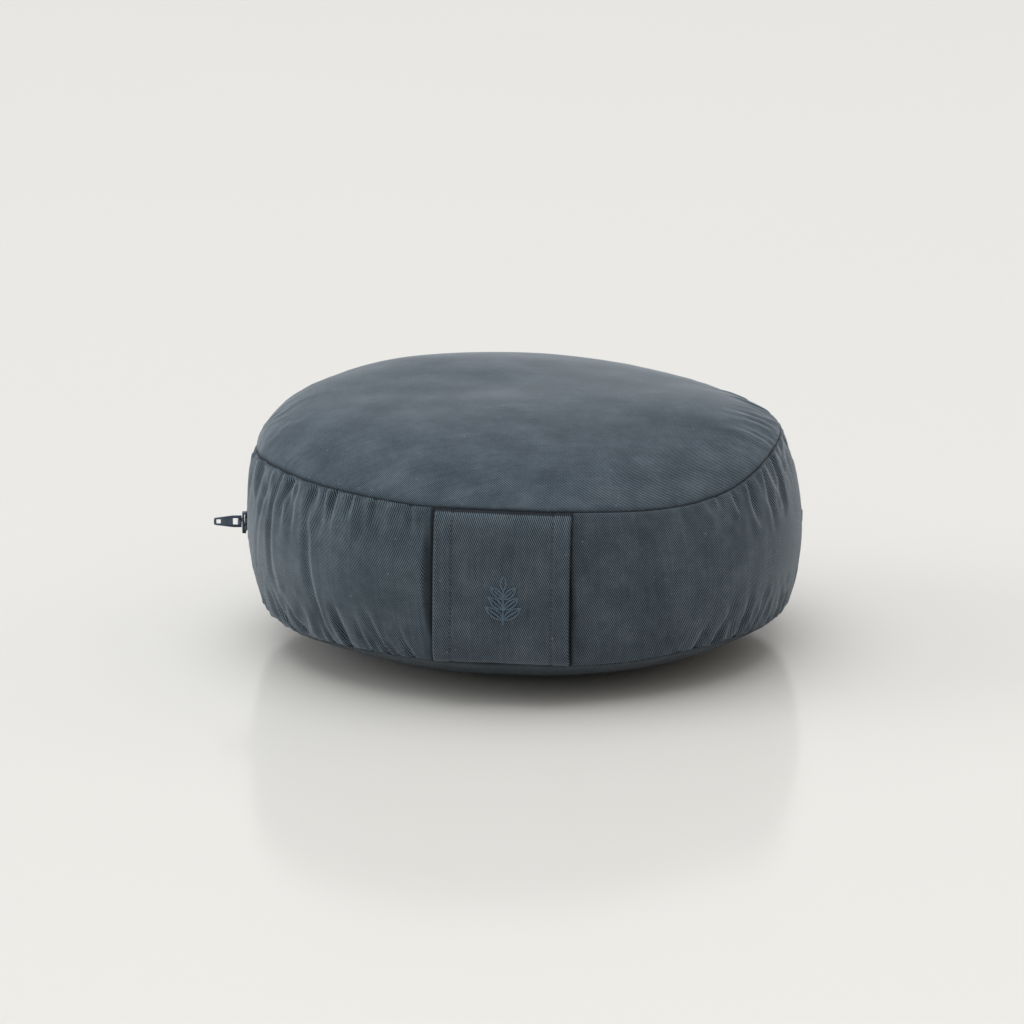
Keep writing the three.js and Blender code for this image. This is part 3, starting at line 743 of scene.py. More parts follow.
def strap_points(x, share, out=0.0):
    """Points on the handle's front face, and how it faces there. Share runs from -1 at
    the bottom seam to 1 at the top seam; the handle leaves both seams steeply, stands
    off the cushion in between, and leans a little."""
    top_y, top_z = sewn_end(x + 0 * share, True)
    foot_y, foot_z = sewn_end(x + 0 * share, False)

    def path(at):
        arch = np.maximum(1 - np.abs(at) ** 4, 0) ** 0.5
        y = foot_y + (top_y - foot_y) * (at + 1) / 2
        y = y - (STRAP_FRONT + y) * arch
        z = foot_z + (top_z - foot_z) * (at + 1) / 2
        return y, z
    y, z = path(share)
    ahead, behind = path(np.minimum(share + 1e-3, 1)), path(np.maximum(share - 1e-3, -1))
    along = np.stack([0 * y, ahead[0] - behind[0], ahead[1] - behind[1]], -1)
    along /= np.linalg.norm(along, axis=-1, keepdims=True)
    facing = np.stack([0 * y, -along[..., 2], along[..., 1]], -1)
    x = x + STRAP_SHIFT + STRAP_LEAN * share
    middle = np.stack([x + 0 * y, y + 0 * x, z + 0 * x], -1)
    return middle + facing * np.asarray(out)[..., None], facing, along


def strap_relief(x, share):
    """Height of the cloth on the handle: hems that are thicker than the single middle, a
    pulled-in line along each row of stitches, rounded folds at the edges, and soft lumps."""
    edge = STRAP_HALF - np.abs(x)
    height = share * strap_reach
    tug = 0.75 + 0.25 * np.cos(2 * math.pi * height / STITCH_PITCH)
    relief = 0.35 * smooth_step(HEM_INSET - edge, -0.4, 0.8)
    relief = relief - 0.55 * tug * np.exp(-((edge - HEM_INSET) / 0.75) ** 2)
    relief = relief + 0.25 * np.exp(-((edge - 1.5) / 1.5) ** 2)
    relief = relief + 0.28 * smooth_noise(x, 0, height, 34, 51)
    return relief + 0.10 * smooth_noise(x, 0, height, 11, 52)


def strap_mesh():
    """The handle as a closed slab: loops round its cross-section, from seam to seam."""
    inner = np.linspace(-STRAP_HALF + 1, STRAP_HALF - 1, 90)
    turn = np.linspace(-90, 90, 9)[1:-1] * math.pi / 180
    half = STRAP_THICKNESS / 2
    x = np.concatenate([inner, STRAP_HALF - 1 + np.cos(turn)[::-1],
                        inner[::-1][::2], -STRAP_HALF + 1 - np.cos(turn)])
    out = np.concatenate([0 * inner, -half + half * np.sin(turn)[::-1],
                          0 * inner[::2] - 2 * half, -half + half * np.sin(turn)])
    front = out > -0.05
    rows = np.concatenate([[-1, -0.995, -0.985], np.linspace(-0.97, 0.97, 84),
                           [0.985, 0.995, 1]])
    x_grid, share = np.meshgrid(x, rows)
    wander = 1 + 0.004 * smooth_noise(0 * share, 0, share * 48, 40, 53)
    relief = strap_relief(x_grid, share) * front
    places, _, _ = strap_points(x_grid * wander, share, out[None] + relief)
    columns = x.size
    faces = ring_quads(len(rows), columns)
    girth = np.concatenate([[0], np.cumsum(np.hypot(np.diff(x), np.diff(out)))])
    height = share * strap_reach
    flat = np.stack([np.broadcast_to(girth, share.shape), height], -1).reshape(-1, 2)
    maps = flat[faces.ravel()] * MM
    last = ((faces % columns == 0) & ((faces % columns).max(1) == columns - 1)[:, None])
    maps[last.ravel(), 0] = (girth[-1] + 1.0) * MM
    faces = faces.tolist()
    faces.append(list(range((len(rows) - 1) * columns, len(rows) * columns)))
    faces.append(list(range(columns))[::-1])
    caps = flat[faces[-2] + faces[-1]] * MM
    # Painted shade at the handle's ends and along its long edges, read by the material as the
    # 'crease' value.
    ends = 1 - smooth_step(strap_reach - np.abs(height), *END_SHADE[::-1])
    edges = 1 - smooth_step(STRAP_HALF - np.abs(x_grid), *EDGE_SHADE[::-1])
    shade = np.maximum(ends, 0.9 * edges)
    return finished_mesh("carry_handle", places.reshape(-1, 3), faces,
                         np.concatenate([maps, caps]), {"crease": shade.ravel()})


# ---- threads and teeth ----------------------------------------------------------

BAR_RINGS = 5
BAR_SIDES = 6


def short_bars(name, centres, along, facing, length, width, height, lift=0.0):
    """Many small rounded bars in one mesh: each has five rings of six points and two
    ends, is widest in its middle, and rises a little there by the lift."""
    centres, along, facing = (np.asarray(a, float) for a in (centres, along, facing))
    count = len(centres)
    length = np.broadcast_to(length, count)[:, None, None, None]
    across = np.cross(along, facing)
    across /= np.linalg.norm(across, axis=-1, keepdims=True)
    place = np.array([-0.96, -0.62, 0.0, 0.62, 0.96])[:, None]
    girth = np.sqrt(1 - (0.93 * place) ** 4)
    angle = np.radians(np.arange(BAR_SIDES) * 360 / BAR_SIDES + 30)[None]
    points = (centres[:, None, None]
              + along[:, None, None] * length * place[None, ..., None] / 2
              + across[:, None, None] * (girth * np.cos(angle) * width / 2)[None, ..., None]
              + facing[:, None, None] * (girth * np.sin(angle) * height / 2
                                         + lift * (1 - place ** 2))[None, ..., None])
    side = np.arange(BAR_SIDES)
    turn = (side + 1) % BAR_SIDES
    near = np.arange(BAR_RINGS - 1)[:, None] * BAR_SIDES
    far = near + BAR_SIDES
    quads = np.stack([near + side, far + side, far + turn, near + turn], -1).reshape(-1, 4)
    first = np.arange(count)[:, None] * BAR_RINGS * BAR_SIDES
    faces = (quads[None] + first[..., None]).reshape(-1, 4).tolist()
    for end in (side, (BAR_RINGS - 1) * BAR_SIDES + side[::-1]):
        faces.extend((end[None] + first).tolist())
    return finished_mesh(name, points.reshape(-1, 3), faces)


def handle_stitches(side):
    """One row of stitches down a hem of the handle."""
    steps = int(2 * strap_reach * 0.965 / STITCH_PITCH)
    share = (np.arange(steps) - (steps - 1) / 2) * STITCH_PITCH / strap_reach
    draw = np.random.default_rng(60 + side)
    x = side * (STRAP_HALF - HEM_INSET) + draw.normal(0, 0.08, steps)
    out = strap_relief(x, share) + 0.22
    places, facing, along = strap_points(x, share, out)
    slant = along + np.array([1.0, 0, 0]) * draw.normal(0.05, 0.03, (steps, 1))
    name = "handle_stitches_left" if side < 0 else "handle_stitches_right"
    return short_bars(name, places, slant, facing, 2.7, 0.62, 0.5, 0.12)


EMBLEM_HEIGHT = 29.0
EMBLEM_WIDTH = 20.0
EMBLEM_DROP = 4.5                 # its centre, below mid-height
EMBLEM_SHIFT = 1.5                # its centre, to the right of the handle's
LINE_WIDTH = 1.05
STRAND_STEP = 0.42                # along a line, from one thread to the next
STRAND_SLANT = math.radians(28)   # how far the threads lean from straight across


def line_strands(base, tip, bulge):
    """Threads of one satin-stitched line: a curve from base to tip that bulges to one
    side, crossed by short slanting threads. Returns middles, directions and lengths."""
    base, tip = np.array(base, float), np.array(tip, float)
    length = np.linalg.norm(tip - base)
    axis = (tip - base) / length
    side = np.array([-axis[1], axis[0]])
    share = np.linspace(0, 1, round(length / STRAND_STEP) + 1)[:, None]
    middle = base + axis * share * length + side * 2 * share * (1 - share) * bulge * length
    way = axis + side * 2 * (1 - 2 * share) * bulge
    way /= np.linalg.norm(way, axis=-1, keepdims=True)
    across = np.stack([-way[:, 1], way[:, 0]], -1)
    slanted = across * math.cos(STRAND_SLANT) + way * math.sin(STRAND_SLANT)
    return middle, slanted, np.full(len(share), LINE_WIDTH)


def emblem_mesh():
    """A plain sprig drawn in satin-stitched lines: a stem, three pairs of leaves with
    their midribs, and one leaf at its top."""
    foot = -EMBLEM_HEIGHT / 2
    top = EMBLEM_HEIGHT * 0.20
    lines = [((0, foot), (0, top), 0.0)]
    lines += [((0, top), (0, -foot), bulge) for bulge in (-0.36, 0.36)]
    for pair in range(3):
        start = foot + EMBLEM_HEIGHT * (0.10 + 0.21 * pair)
        spread = EMBLEM_WIDTH / 2 * (1 - 0.14 * pair)
        lines += [((0, start), (side * spread, start + EMBLEM_HEIGHT * 0.25), bulge)
                  for side in (-1, 1) for bulge in (-0.40, 0.36, 0.0)]
    parts = [line_strands(*line) for line in lines]
    middle, way, length = (np.concatenate(part) for part in zip(*parts))
    draw = np.random.default_rng(71)
    length = length * draw.uniform(0.95, 1.05, length.size)
    centre = (strap_top + strap_foot) / 2
    x = EMBLEM_SHIFT + middle[:, 0]
    share = (MIDDLE - EMBLEM_DROP + middle[:, 1] - centre) / strap_reach
    out = strap_relief(x, share) + 0.22 + draw.uniform(0, 0.03, x.size)
    places, facing, along = strap_points(x, share, out)
    direction = np.array([1.0, 0, 0]) * way[:, :1] + along * way[:, 1:]
    return short_bars("sprig_embroidery", places, direction, facing, length, 0.48, 0.6, 0.2)


# ---- zip ------------------------------------------------------------------------

COIL_PITCH = 1.4
TAPE_RADIUS = 168.0               # the middle of the tape's thickness
TAPE_THICKNESS = 0.6


def zip_angles(step, inset):
    """Angles round the back, from one end of the zip to the other, step millimetres
    apart, in the same sense as the other angles."""
    far = math.radians(ZIP_FAR_END) - inset / BAND_RADIUS
    near = math.radians(ZIP_END) - inset / BAND_RADIUS
    return math.pi + np.linspace(-far, near, int((far + near) * BAND_RADIUS / step))


def on_ring(phi, radius, height):
    """Points at a radius and height, and the outward and forward directions there."""
    facing = np.stack([np.sin(phi), -np.cos(phi), 0 * phi], -1)
    along = np.stack([np.cos(phi), np.sin(phi), 0 * phi], -1)
    return facing * radius + np.array([0, 0, 1.0]) * np.asarray(height)[..., None], facing, along


def tape_mesh(side):
    """One tape of the zip: a thin slab round the back, with a slight roll at its inner
    edge where the coil is sewn on, and closed ends."""
    phi = zip_angles(2.4, 0.4)
    low, high = 0.7, SLOT_HALF + 0.5
    height = np.concatenate([np.linspace(low, high, 9), np.linspace(high, low, 9)])
    half = TAPE_THICKNESS / 2
    roll = 0.12 * np.exp(-((height - 3.6) / 0.5) ** 2)
    out = np.concatenate([np.full(9, half), np.full(9, -half)]) + roll
    if side > 0:
        height, out = height[::-1], out[::-1]
    phi_grid, height_grid = np.meshgrid(phi, height, indexing="ij")
    places, _, _ = on_ring(phi_grid, (TAPE_RADIUS + out)[None, :, None],
                           MIDDLE + side * height_grid)
    rows, columns = phi_grid.shape
    faces = ring_quads(rows, columns)
    flat = np.stack([phi_grid * BAND_RADIUS, side * height_grid], -1).reshape(-1, 2) * MM
    faces = faces.tolist()
    faces.append(list(range((rows - 1) * columns, rows * columns)))
    faces.append(list(range(columns))[::-1])
    maps = flat[np.concatenate([np.array(face) for face in faces])]
    return finished_mesh("zip_tape_" + ("top" if side > 0 else "foot"),
                         places.reshape(-1, 3), faces, maps)


def coil_mesh(side):
    """The visible loops of one nylon coil: short rounded bars that slant a little."""
    phi = zip_angles(COIL_PITCH, 3.4)
    phi = phi + (COIL_PITCH / 2 / BAND_RADIUS if side > 0 else 0)
    places, facing, along = on_ring(phi, TAPE_RADIUS + 1.25, MIDDLE + side * 1.95 + 0 * phi)
    way = np.array([0, 0, 1.0]) + along * 0.16
    way /= np.linalg.norm(way, axis=-1, keepdims=True)
    return short_bars("zip_coil_" + ("top" if side > 0 else "foot"), places, way, facing,
                      2.8, 1.02, 1.4, 0.08)


def zip_stitches(side):
    """The seam that holds the band's folded edge down on the tape."""
    phi = zip_angles(3.3, 1.5)
    wrapped = (phi + math.pi) % (2 * math.pi) - math.pi
    share = (MIDDLE + side * (SLOT_HALF + TOPSTITCH_INSET) - BOTTOM_SEAM) / (
        TOP_SEAM - BOTTOM_SEAM)
    places = band_form(np.array([share]), wrapped)[0]
    _, facing, along = on_ring(wrapped, 1.0, 0 * wrapped)
    places = places - facing * 0.32
    return short_bars("zip_stitches_" + ("top" if side > 0 else "foot"), places, along,
                      facing, 2.6, 0.62, 0.5, 0.10)


def softened(node, name, width):
    """A merged copy of a CAD metal part with its edges rounded."""
    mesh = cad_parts[node].data.copy()
    mesh.name = name
    shape = bmesh.new()
    shape.from_mesh(mesh)
    bmesh.ops.remove_doubles(shape, verts=shape.verts, dist=1e-6)
    bmesh.ops.dissolve_limit(shape, angle_limit=math.radians(1), verts=shape.verts,
                             edges=shape.edges)
    shape.to_mesh(mesh)
    shape.free()
    mesh.polygons.foreach_set("use_smooth", np.ones(len(mesh.polygons), bool))
    mesh.materials.clear()
    body = bpy.data.objects.new(name, mesh)
    bpy.context.scene.collection.objects.link(body)
    bevel = body.modifiers.new("edges", "BEVEL")
    bevel.width = width * MM
    bevel.segments = 2
    bevel.limit_method = "ANGLE"
    bevel.angle_limit = math.radians(35)
    bevel.harden_normals = True
    return body


# ---- materials ------------------------------------------------------------------

def linear(code):
    """An sRGB hex colour as linear red, green, blue and alpha."""
    parts = np.array([int(code[i:i + 2], 16) for i in (1, 3, 5)]) / 255
    parts = np.where(parts > 0.04045, ((parts + 0.055) / 1.055) ** 2.4, parts / 12.92)
    return (*parts.tolist(), 1.0)


MATH = "ShaderNodeMath"
NOISE = "ShaderNodeTexNoise"
RAMP = "ShaderNodeValToRGB"
MIX = "ShaderNodeMix"
MIX_RESULT = 2                    # the number of a Mix node's colour output


def add_node(tree, kind, inputs=None, stops=(), **settings):
    """Adds a node, sets its settings and fills its inputs with values, other sockets or
    the first outputs of other nodes. Stops are a ramp's positions and hex colours."""
    node = tree.nodes.new(kind)
    for key, value in settings.items():
        setattr(node, key, value)
    for key, value in (inputs or {}).items():
        if isinstance(value, bpy.types.Node):
            tree.links.new(value.outputs[0], node.inputs[key])
        elif isinstance(value, bpy.types.NodeSocket):
            tree.links.new(value, node.inputs[key])
        else:
            node.inputs[key].default_value = value
    for number, (position, code) in enumerate(stops):
        elements = node.color_ramp.elements
        element = elements[number] if number < len(elements) else elements.new(position)
        element.position = position
        element.color = linear(code)
    return node


def new_material(name):
    material = bpy.data.materials.new(name)
    material.use_nodes = True
    material.node_tree.nodes.clear()
    return material, material.node_tree


def finish_material(tree, **inputs):
    """A Principled surface from named inputs, with underscores for spaces."""
    named = {key.replace("_", " "): value for key, value in inputs.items()}
    surface = add_node(tree, "ShaderNodeBsdfPrincipled", named)
    add_node(tree, "ShaderNodeOutputMaterial", {"Surface": surface.outputs[0]})


def cloth_place(tree, scale=1000.0, shift=0.0):
    """The piece's own map of flat cloth, in millimetres."""
    place = add_node(tree, "ShaderNodeUVMap", uv_map="cloth")
    return add_node(tree, "ShaderNodeMapping", {"Vector": place, "Scale": (scale, scale, 1),
                    "Location": (shift, shift, shift)})


WALE_ACROSS = 1.22                # between two wales, measured along the weft
WALE_ALONG = 2.43                 # between two wales, measured along the warp
PICK = 1.0                        # between two weft threads; a real one is finer
SHEEN = 0.7                       # of the cloth's nap, away from its creases


def twill(name, dark, base, light, shift=0.0):
    """Brushed cotton twill: diagonal wales about 1.1 mm apart, each a row of short
    slanted floats roughened by loose fibres, with soft mottling, faint streaks along the
    warp and small pale pills. Painted shade darkens the valleys between the wales and
    painted light lightens their ridges. The wales and their painted light and shade fade
    where the mesh says the cloth is worn, and painted shade darkens it where the mesh's
    crease value is high. Its nap gives a soft sheen."""
    material, tree = new_material(name)
    place = cloth_place(tree, shift=shift)
    split = add_node(tree, "ShaderNodeSeparateXYZ", {"Vector": place})
    weft, warp = split.outputs[0], split.outputs[1]
    sway = add_node(tree, NOISE, {"Vector": place, "Scale": 0.06, "Detail": 1.0})
    slope = add_node(tree, MATH, {0: warp, 1: 1 / WALE_ALONG}, operation="MULTIPLY")
    slope = add_node(tree, MATH, {0: weft, 1: 1 / WALE_ACROSS, 2: slope},
                     operation="MULTIPLY_ADD")
    phase = add_node(tree, MATH, {0: sway, 1: 0.8, 2: slope}, operation="MULTIPLY_ADD")
    phase = add_node(tree, MATH, {0: phase, 1: 2 * math.pi}, operation="MULTIPLY")
    wale = add_node(tree, MATH, {0: phase}, operation="SINE")
    slant = add_node(tree, MATH, {0: weft, 1: 1.3}, operation="MULTIPLY")
    pick = add_node(tree, MATH, {0: warp, 1: 2 * math.pi / PICK, 2: slant},
                    operation="MULTIPLY_ADD")
    pick = add_node(tree, MATH, {0: pick}, operation="SINE")
    fibre = add_node(tree, NOISE, {"Vector": place, "Scale": 1.7, "Detail": 3.0,
                     "Roughness": 0.65})
    fibre = add_node(tree, MATH, {0: fibre, 1: 0.5}, operation="SUBTRACT")
    worn = add_node(tree, "ShaderNodeAttribute", attribute_name="worn").outputs["Fac"]
    fresh = add_node(tree, MATH, {0: worn, 1: -0.44, 2: 0.46}, operation="MULTIPLY_ADD")
    weave = add_node(tree, MATH, {0: wale, 1: fresh, 2: 0.5}, operation="MULTIPLY_ADD")
    weave = add_node(tree, MATH, {0: pick, 1: 0.06, 2: weave}, operation="MULTIPLY_ADD")
    weave = add_node(tree, MATH, {0: fibre, 1: 0.6, 2: weave}, operation="MULTIPLY_ADD")
    mottle = add_node(tree, NOISE, {"Vector": place, "Scale": 0.035, "Detail": 4.0,
                      "Roughness": 0.6})
    blotch = add_node(tree, NOISE, {"Vector": place, "Scale": 0.22, "Detail": 3.0,
                      "Roughness": 0.6})
    long = add_node(tree, "ShaderNodeMapping", {"Vector": place, "Scale": (0.55, 0.03, 1)})
    streak = add_node(tree, NOISE, {"Vector": long, "Scale": 1.0})
    tone = add_node(tree, MATH, {0: blotch, 1: 0.2}, operation="MULTIPLY")
    tone = add_node(tree, MATH, {0: streak, 1: 0.2, 2: tone}, operation="MULTIPLY_ADD")
    tone = add_node(tree, MATH, {0: mottle, 1: 0.6, 2: tone}, operation="MULTIPLY_ADD")
    colour = add_node(tree, RAMP, {"Fac": tone}, [(0.34, dark), (0.5, base), (0.68, light)])
    # Painted shade in the valleys between the wales and painted light on their ridges: the
    # weave's height, with the fibres' random tone, scales the colour, on top of the bump.
    threads = add_node(tree, RAMP, {"Fac": weave},
                       [(0.08, "#3c3c3c"), (0.5, "#b0b0b0"), (0.92, "#ffffff")])
    colour = add_node(tree, MIX, {0: 1.0, 6: colour, 7: threads}, data_type="RGBA",
                      blend_type="MULTIPLY").outputs[MIX_RESULT]
    pills = add_node(tree, "ShaderNodeTexVoronoi", {"Vector": place, "Scale": 0.11,
                     "Randomness": 1.0})
    pill = add_node(tree, MATH, {0: pills, 1: 0.05}, operation="LESS_THAN")
    pill = add_node(tree, MATH, {0: pill, 1: 0.55}, operation="MULTIPLY")
    colour = add_node(tree, MIX, {0: pill, 6: colour, 7: linear("#8b969f")},
                      data_type="RGBA").outputs[MIX_RESULT]
    # Painted shade: towards near black where the mesh's 'crease' value is high, in the seams'
    # creases, over the bottom, beside the handle and at the handle's ends and edges.
    crease = add_node(tree, "ShaderNodeAttribute", attribute_name="crease").outputs["Fac"]
    shade = add_node(tree, MATH, {0: crease, 1: 2.6}, operation="POWER")
    shade = add_node(tree, MATH, {0: shade, 1: 0.85}, operation="MULTIPLY")
    colour = add_node(tree, MIX, {0: shade, 6: colour, 7: linear("#14181c")},
                      data_type="RGBA").outputs[MIX_RESULT]
    relief = add_node(tree, MATH, {0: worn, 1: -3.0, 2: 0.45}, operation="MULTIPLY_ADD")
    relief = add_node(tree, MATH, {0: relief, 1: 0.0}, operation="MAXIMUM")
    bump = add_node(tree, "ShaderNodeBump", {"Height": weave, "Strength": relief,
                    "Distance": 0.00036})
    nap = add_node(tree, MATH, {0: crease, 1: -SHEEN, 2: SHEEN}, operation="MULTIPLY_ADD")
    finish_material(tree, Base_Color=colour, Roughness=0.93, IOR=1.45,
                    Specular_IOR_Level=0.25, Sheen_Weight=nap, Sheen_Roughness=0.32,
                    Sheen_Tint=linear("#dbe2e8"), Normal=bump)
    return material


def spun_thread(name, dark, light, roughness):
    """Twisted thread: fine bands of light and dark from its twist, a little shine."""
    material, tree = new_material(name)
    place = add_node(tree, "ShaderNodeTexCoord").outputs["Object"]
    twist = add_node(tree, "ShaderNodeTexWave", {"Vector": place, "Scale": 900.0,
                     "Distortion": 3.0}, bands_direction="DIAGONAL").outputs["Fac"]
    wear = add_node(tree, NOISE, {"Vector": place, "Scale": 420.0})
    value = add_node(tree, MATH, {0: wear, 1: 0.5}, operation="MULTIPLY")
    value = add_node(tree, MATH, {0: twist, 1: 0.5, 2: value}, operation="MULTIPLY_ADD")
    colour = add_node(tree, RAMP, {"Fac": value}, [(0.25, dark), (0.75, light)])
    bump = add_node(tree, "ShaderNodeBump", {"Height": twist, "Strength": 0.5,
                    "Distance": 0.00008})
    finish_material(tree, Base_Color=colour, Roughness=roughness, IOR=1.53,
                    Sheen_Weight=0.2, Normal=bump)
    return material


def zip_tape_cloth():
    """Woven polyester tape: a fine herringbone along the zip, matt and a little uneven."""
    material, tree = new_material("woven polyester tape")
    place = cloth_place(tree)
    split = add_node(tree, "ShaderNodeSeparateXYZ", {"Vector": place})
    fold = add_node(tree, MATH, {0: split.outputs[1], 1: 1.3}, operation="PINGPONG")
    rib = add_node(tree, MATH, {0: split.outputs[0], 1: fold}, operation="ADD")
    rib = add_node(tree, MATH, {0: rib, 1: 2 * math.pi / 0.9}, operation="MULTIPLY")
    rib = add_node(tree, MATH, {0: rib}, operation="SINE")
    value = add_node(tree, NOISE, {"Vector": place, "Scale": 1.2, "Detail": 3.0})
    value = add_node(tree, MATH, {0: rib, 1: 0.2, 2: value}, operation="MULTIPLY_ADD")
    colour = add_node(tree, RAMP, {"Fac": value}, [(0.2, "#2c343c"), (0.8, "#48525c")])
    bump = add_node(tree, "ShaderNodeBump", {"Height": value, "Strength": 0.7,
                    "Distance": 0.00015})
    finish_material(tree, Base_Color=colour, Roughness=0.85, IOR=1.5, Sheen_Weight=0.15,
                    Normal=bump)
    return material


def coil_nylon():
    """Moulded nylon: satin, slightly cloudy, with small changes of tone from loop to loop."""
    material, tree = new_material("dyed nylon")
    place = add_node(tree, "ShaderNodeTexCoord").outputs["Object"]
    cloud = add_node(tree, NOISE, {"Vector": place, "Scale": 300.0})
    colour = add_node(tree, RAMP, {"Fac": cloud}, [(0.3, "#2d353d"), (0.7, "#3f4953")])
    finish_material(tree, Base_Color=colour, Roughness=0.42, IOR=1.53)
    return material


def lacquer():
    """Lacquered zinc: dark slate paint with a faint orange peel and softly worn spots."""
    material, tree = new_material("lacquered zinc")
    place = add_node(tree, "ShaderNodeTexCoord").outputs["Object"]
    peel = add_node(tree, NOISE, {"Vector": place, "Scale": 900.0})
    wear = add_node(tree, NOISE, {"Vector": place, "Scale": 160.0, "Detail": 3.0,
                    "Roughness": 0.6})
    rough = add_node(tree, MATH, {0: wear, 1: 0.25, 2: 0.22}, operation="MULTIPLY_ADD")
    colour = add_node(tree, RAMP, {"Fac": wear}, [(0.35, "#414f5d"), (0.7, "#566575")])
    bump = add_node(tree, "ShaderNodeBump", {"Height": peel, "Strength": 0.25,
                    "Distance": 0.00006})
    finish_material(tree, Base_Color=colour, Metallic=0.35, Roughness=rough, IOR=1.5,
                    Normal=bump)
    return material


def liner_cloth():
    """Undyed plain-weave cotton: warm white with slubs and a square weave."""
    material, tree = new_material("undyed cotton")
    place = cloth_place(tree)
    weave = add_node(tree, "ShaderNodeTexBrick", {"Vector": place, "Scale": 0.8,
                     "Color1": linear("#e9e3d5"), "Color2": linear("#ded7c7"),
                     "Mortar": linear("#c9c1b0")})
    slub = add_node(tree, NOISE, {"Vector": place, "Scale": 0.15, "Detail": 3.0})
    slub = add_node(tree, MATH, {0: slub, 1: 0.4}, operation="MULTIPLY")
    colour = add_node(tree, MIX, {0: slub, 6: weave, 7: linear("#f3eee2")},
                      data_type="RGBA").outputs[MIX_RESULT]
    finish_material(tree, Base_Color=colour, Roughness=0.92, IOR=1.47, Sheen_Weight=0.15)
    return material


def hulls():
    """Loose buckwheat hulls: dark brown flakes, each with its own tone and a dull shine."""
    material, tree = new_material("buckwheat hulls")
    place = add_node(tree, "ShaderNodeTexCoord").outputs["Object"]
    flakes = add_node(tree, "ShaderNodeTexVoronoi", {"Vector": place, "Scale": 220.0})
    tone = add_node(tree, "ShaderNodeSeparateXYZ", {"Vector": flakes.outputs["Color"]})
    colour = add_node(tree, RAMP, {"Fac": tone}, [(0.1, "#2c2019"), (0.9, "#6b5240")])
    bump = add_node(tree, "ShaderNodeBump", {"Height": flakes, "Strength": 1.0,
                    "Distance": 0.0015}, invert=True)
    finish_material(tree, Base_Color=colour, Roughness=0.6, IOR=1.5, Normal=bump)
    return material


# ---- the pieces -----------------------------------------------------------------

def take(body, material, slot, rides, *nodes):
    """Gives a piece its material and says what it rides on and which nodes it replaces."""
    body.data.materials.append(material)
    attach(body, rides)
    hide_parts(*nodes)
    return body


cover_cloth = twill("brushed cotton twill", "#576571", "#6a7985", "#82909b")
# The handle's twill is the cover's cloth made a little lighter: painted light, so the handle
# looks as bright as the band beside it.
handle_cloth = twill("cotton twill of the handle", "#5a6874", "#6d7b87", "#84929d", 400.0)
thread = spun_thread("polyester sewing thread", "#1f262d", "#3d4751", 0.6)
rayon = spun_thread("rayon embroidery thread", "#3d5262", "#6b8497", 0.36)
tape_cloth = zip_tape_cloth()
nylon = coil_nylon()
zinc = lacquer()

cover = take(cover_mesh(), cover_cloth, "cover_twill", "cushion", "cover_top_panel",
             "cover_bottom_panel", "cover_front_band", "cover_back_band_upper",
             "cover_back_band_lower")
liner = take(inner_form("cotton_liner", LINER_INSET), liner_cloth(), "liner_cotton", "cushion",
             "liner_top_panel", "liner_bottom_panel", "liner_band")
filling = take(inner_form("hulls_in_liner", HULL_INSET), hulls(), "buckwheat_hulls", "cushion",
               "hull_fill")

take(strap_mesh(), handle_cloth, "handle_twill", "cushion", "handle_strap")
take(handle_stitches(-1), thread, "sewing_thread", "cushion", "handle_stitching_left")
take(handle_stitches(1), thread, "sewing_thread", "cushion", "handle_stitching_right")
take(emblem_mesh(), rayon, "sewing_thread", "cushion", "emblem_embroidery")

for side, end in ((1, "upper"), (-1, "lower")):
    take(tape_mesh(side), tape_cloth, "zip_tape", "cushion", "zip_tape_" + end)
    take(coil_mesh(side), nylon, "zip_coil", "cushion", "zip_coil_" + end)
    take(zip_stitches(side), thread, "sewing_thread", "cushion", "zip_topstitch_" + end)
    take(softened("zip_closed_stop_" + end, "closed_stop_" + end + "_metal", 0.25), zinc,
         "lacquered_zinc", "cushion", "zip_closed_stop_" + end)
for node, name, width, rides in (
        ("zip_open_stop", "open_stop_metal", 0.25, "cushion"),
        ("zip_slider_body", "slider_body_metal", 0.2, "zip_slider"),
        ("zip_slider_bridge", "slider_bridge_metal", 0.2, "zip_slider"),
        ("zip_pull", "pull_tab_metal", 0.2, "zip_pull_tab")):
    take(softened(node, name, width), zinc, "lacquered_zinc", rides, node)


# ---- floor, light and camera ----------------------------------------------------

FLOOR_DROP = 0.3                  # the floor lies this far below the cushion
WORLD_DIM = 0.36                  # the surround's strength low and in front
WORLD_BRIGHT = 0.665              # and high behind
# name, where it stands, how wide it looks in degrees, strength, colour
SUNS = [("overhead", (-0.10, 0.10, 0.98), 60, 1.22, "#f7fbff"),
        ("left", (-0.95, -0.05, 0.28), 40, 0.90, "#f6fbff"),
        ("right", (0.93, 0.42, 0.20), 35, 0.22, "#ffdec1")]


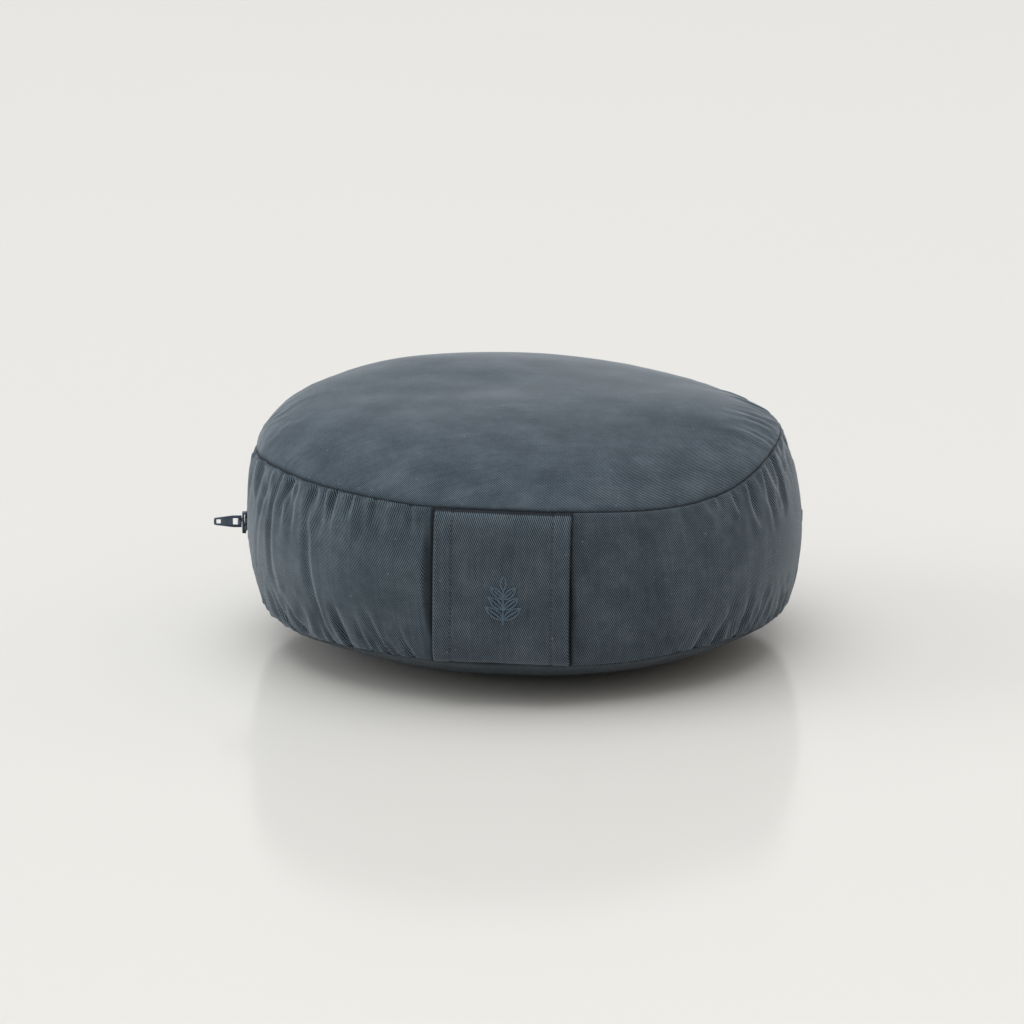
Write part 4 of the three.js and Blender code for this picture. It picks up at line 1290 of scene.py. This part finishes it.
def studio():
    """A glossy pale floor under a surround that is brighter behind and above, with a wide
    soft lamp overhead, a lower one at the left and a weak warm one at the right."""
    material, tree = new_material("glossy white floor")
    place = add_node(tree, "ShaderNodeTexCoord").outputs["Object"]
    scuff = add_node(tree, NOISE, {"Vector": place, "Scale": 3.0})
    rough = add_node(tree, MATH, {0: scuff, 1: 0.04, 2: 0.12}, operation="MULTIPLY_ADD")
    finish_material(tree, Base_Color=linear("#edeae4"), Roughness=rough, IOR=1.35)
    reach = 30000.0
    edge = [(-reach, -reach), (reach, -reach), (reach, reach), (-reach, reach)]
    floor = finished_mesh("floor", [(x, y, -FLOOR_DROP) for x, y in edge], [[0, 1, 2, 3]])
    floor.data.materials.append(material)

    world = bpy.data.worlds.new("surround")
    bpy.context.scene.world = world
    world.use_nodes = True
    tree = world.node_tree
    ground = tree.nodes["Background"]
    way = add_node(tree, "ShaderNodeTexCoord").outputs["Generated"]
    towards = add_node(tree, "ShaderNodeVectorMath", {0: way, 1: (-0.34, 0.46, 0.82)},
                       operation="DOT_PRODUCT").outputs["Value"]
    bright = add_node(tree, "ShaderNodeMapRange", {"Value": towards, "From Min": -0.35,
                      "From Max": 0.75, "To Min": WORLD_DIM, "To Max": WORLD_BRIGHT},
                      interpolation_type="SMOOTHSTEP")
    tree.links.new(bright.outputs[0], ground.inputs["Strength"])
    ground.inputs["Color"].default_value = linear("#ffffff")

    for name, way, angle, strength, tint in SUNS:
        light = bpy.data.lights.new(name, "SUN")
        light.angle = math.radians(angle)
        light.energy = strength
        light.color = linear(tint)[:3]
        lamp = bpy.data.objects.new(name, light)
        lamp.rotation_euler = (-Vector(way)).to_track_quat("-Z", "Y").to_euler()
        bpy.context.scene.collection.objects.link(lamp)


VIEW_RISE = 14.6                  # the camera looks down this steeply, in degrees
VIEW_DISTANCE = 3460              # from its target
TARGET_ASIDE = -7.6               # its target, across the view from the cushion's axis
TARGET_HEIGHT = 76


def camera():
    """A long lens at the front, a little to the right and above."""
    lens = bpy.data.cameras.new("camera")
    lens.lens = 200
    lens.sensor_width = 36
    lens.clip_end = 100
    eye = bpy.data.objects.new("camera", lens)
    turn, rise = math.radians(VIEW_TURN), math.radians(VIEW_RISE)
    aside = TARGET_ASIDE * MM
    target = Vector((aside * math.cos(turn), aside * math.sin(turn), TARGET_HEIGHT * MM))
    back = Vector((math.sin(turn) * math.cos(rise), -math.cos(turn) * math.cos(rise),
                   math.sin(rise)))
    eye.location = target + back * VIEW_DISTANCE * MM
    eye.rotation_euler = (-back).to_track_quat("-Z", "Y").to_euler()
    bpy.context.scene.collection.objects.link(eye)
    bpy.context.scene.camera = eye
    bpy.context.scene.view_settings.view_transform = "Standard"


studio()
camera()
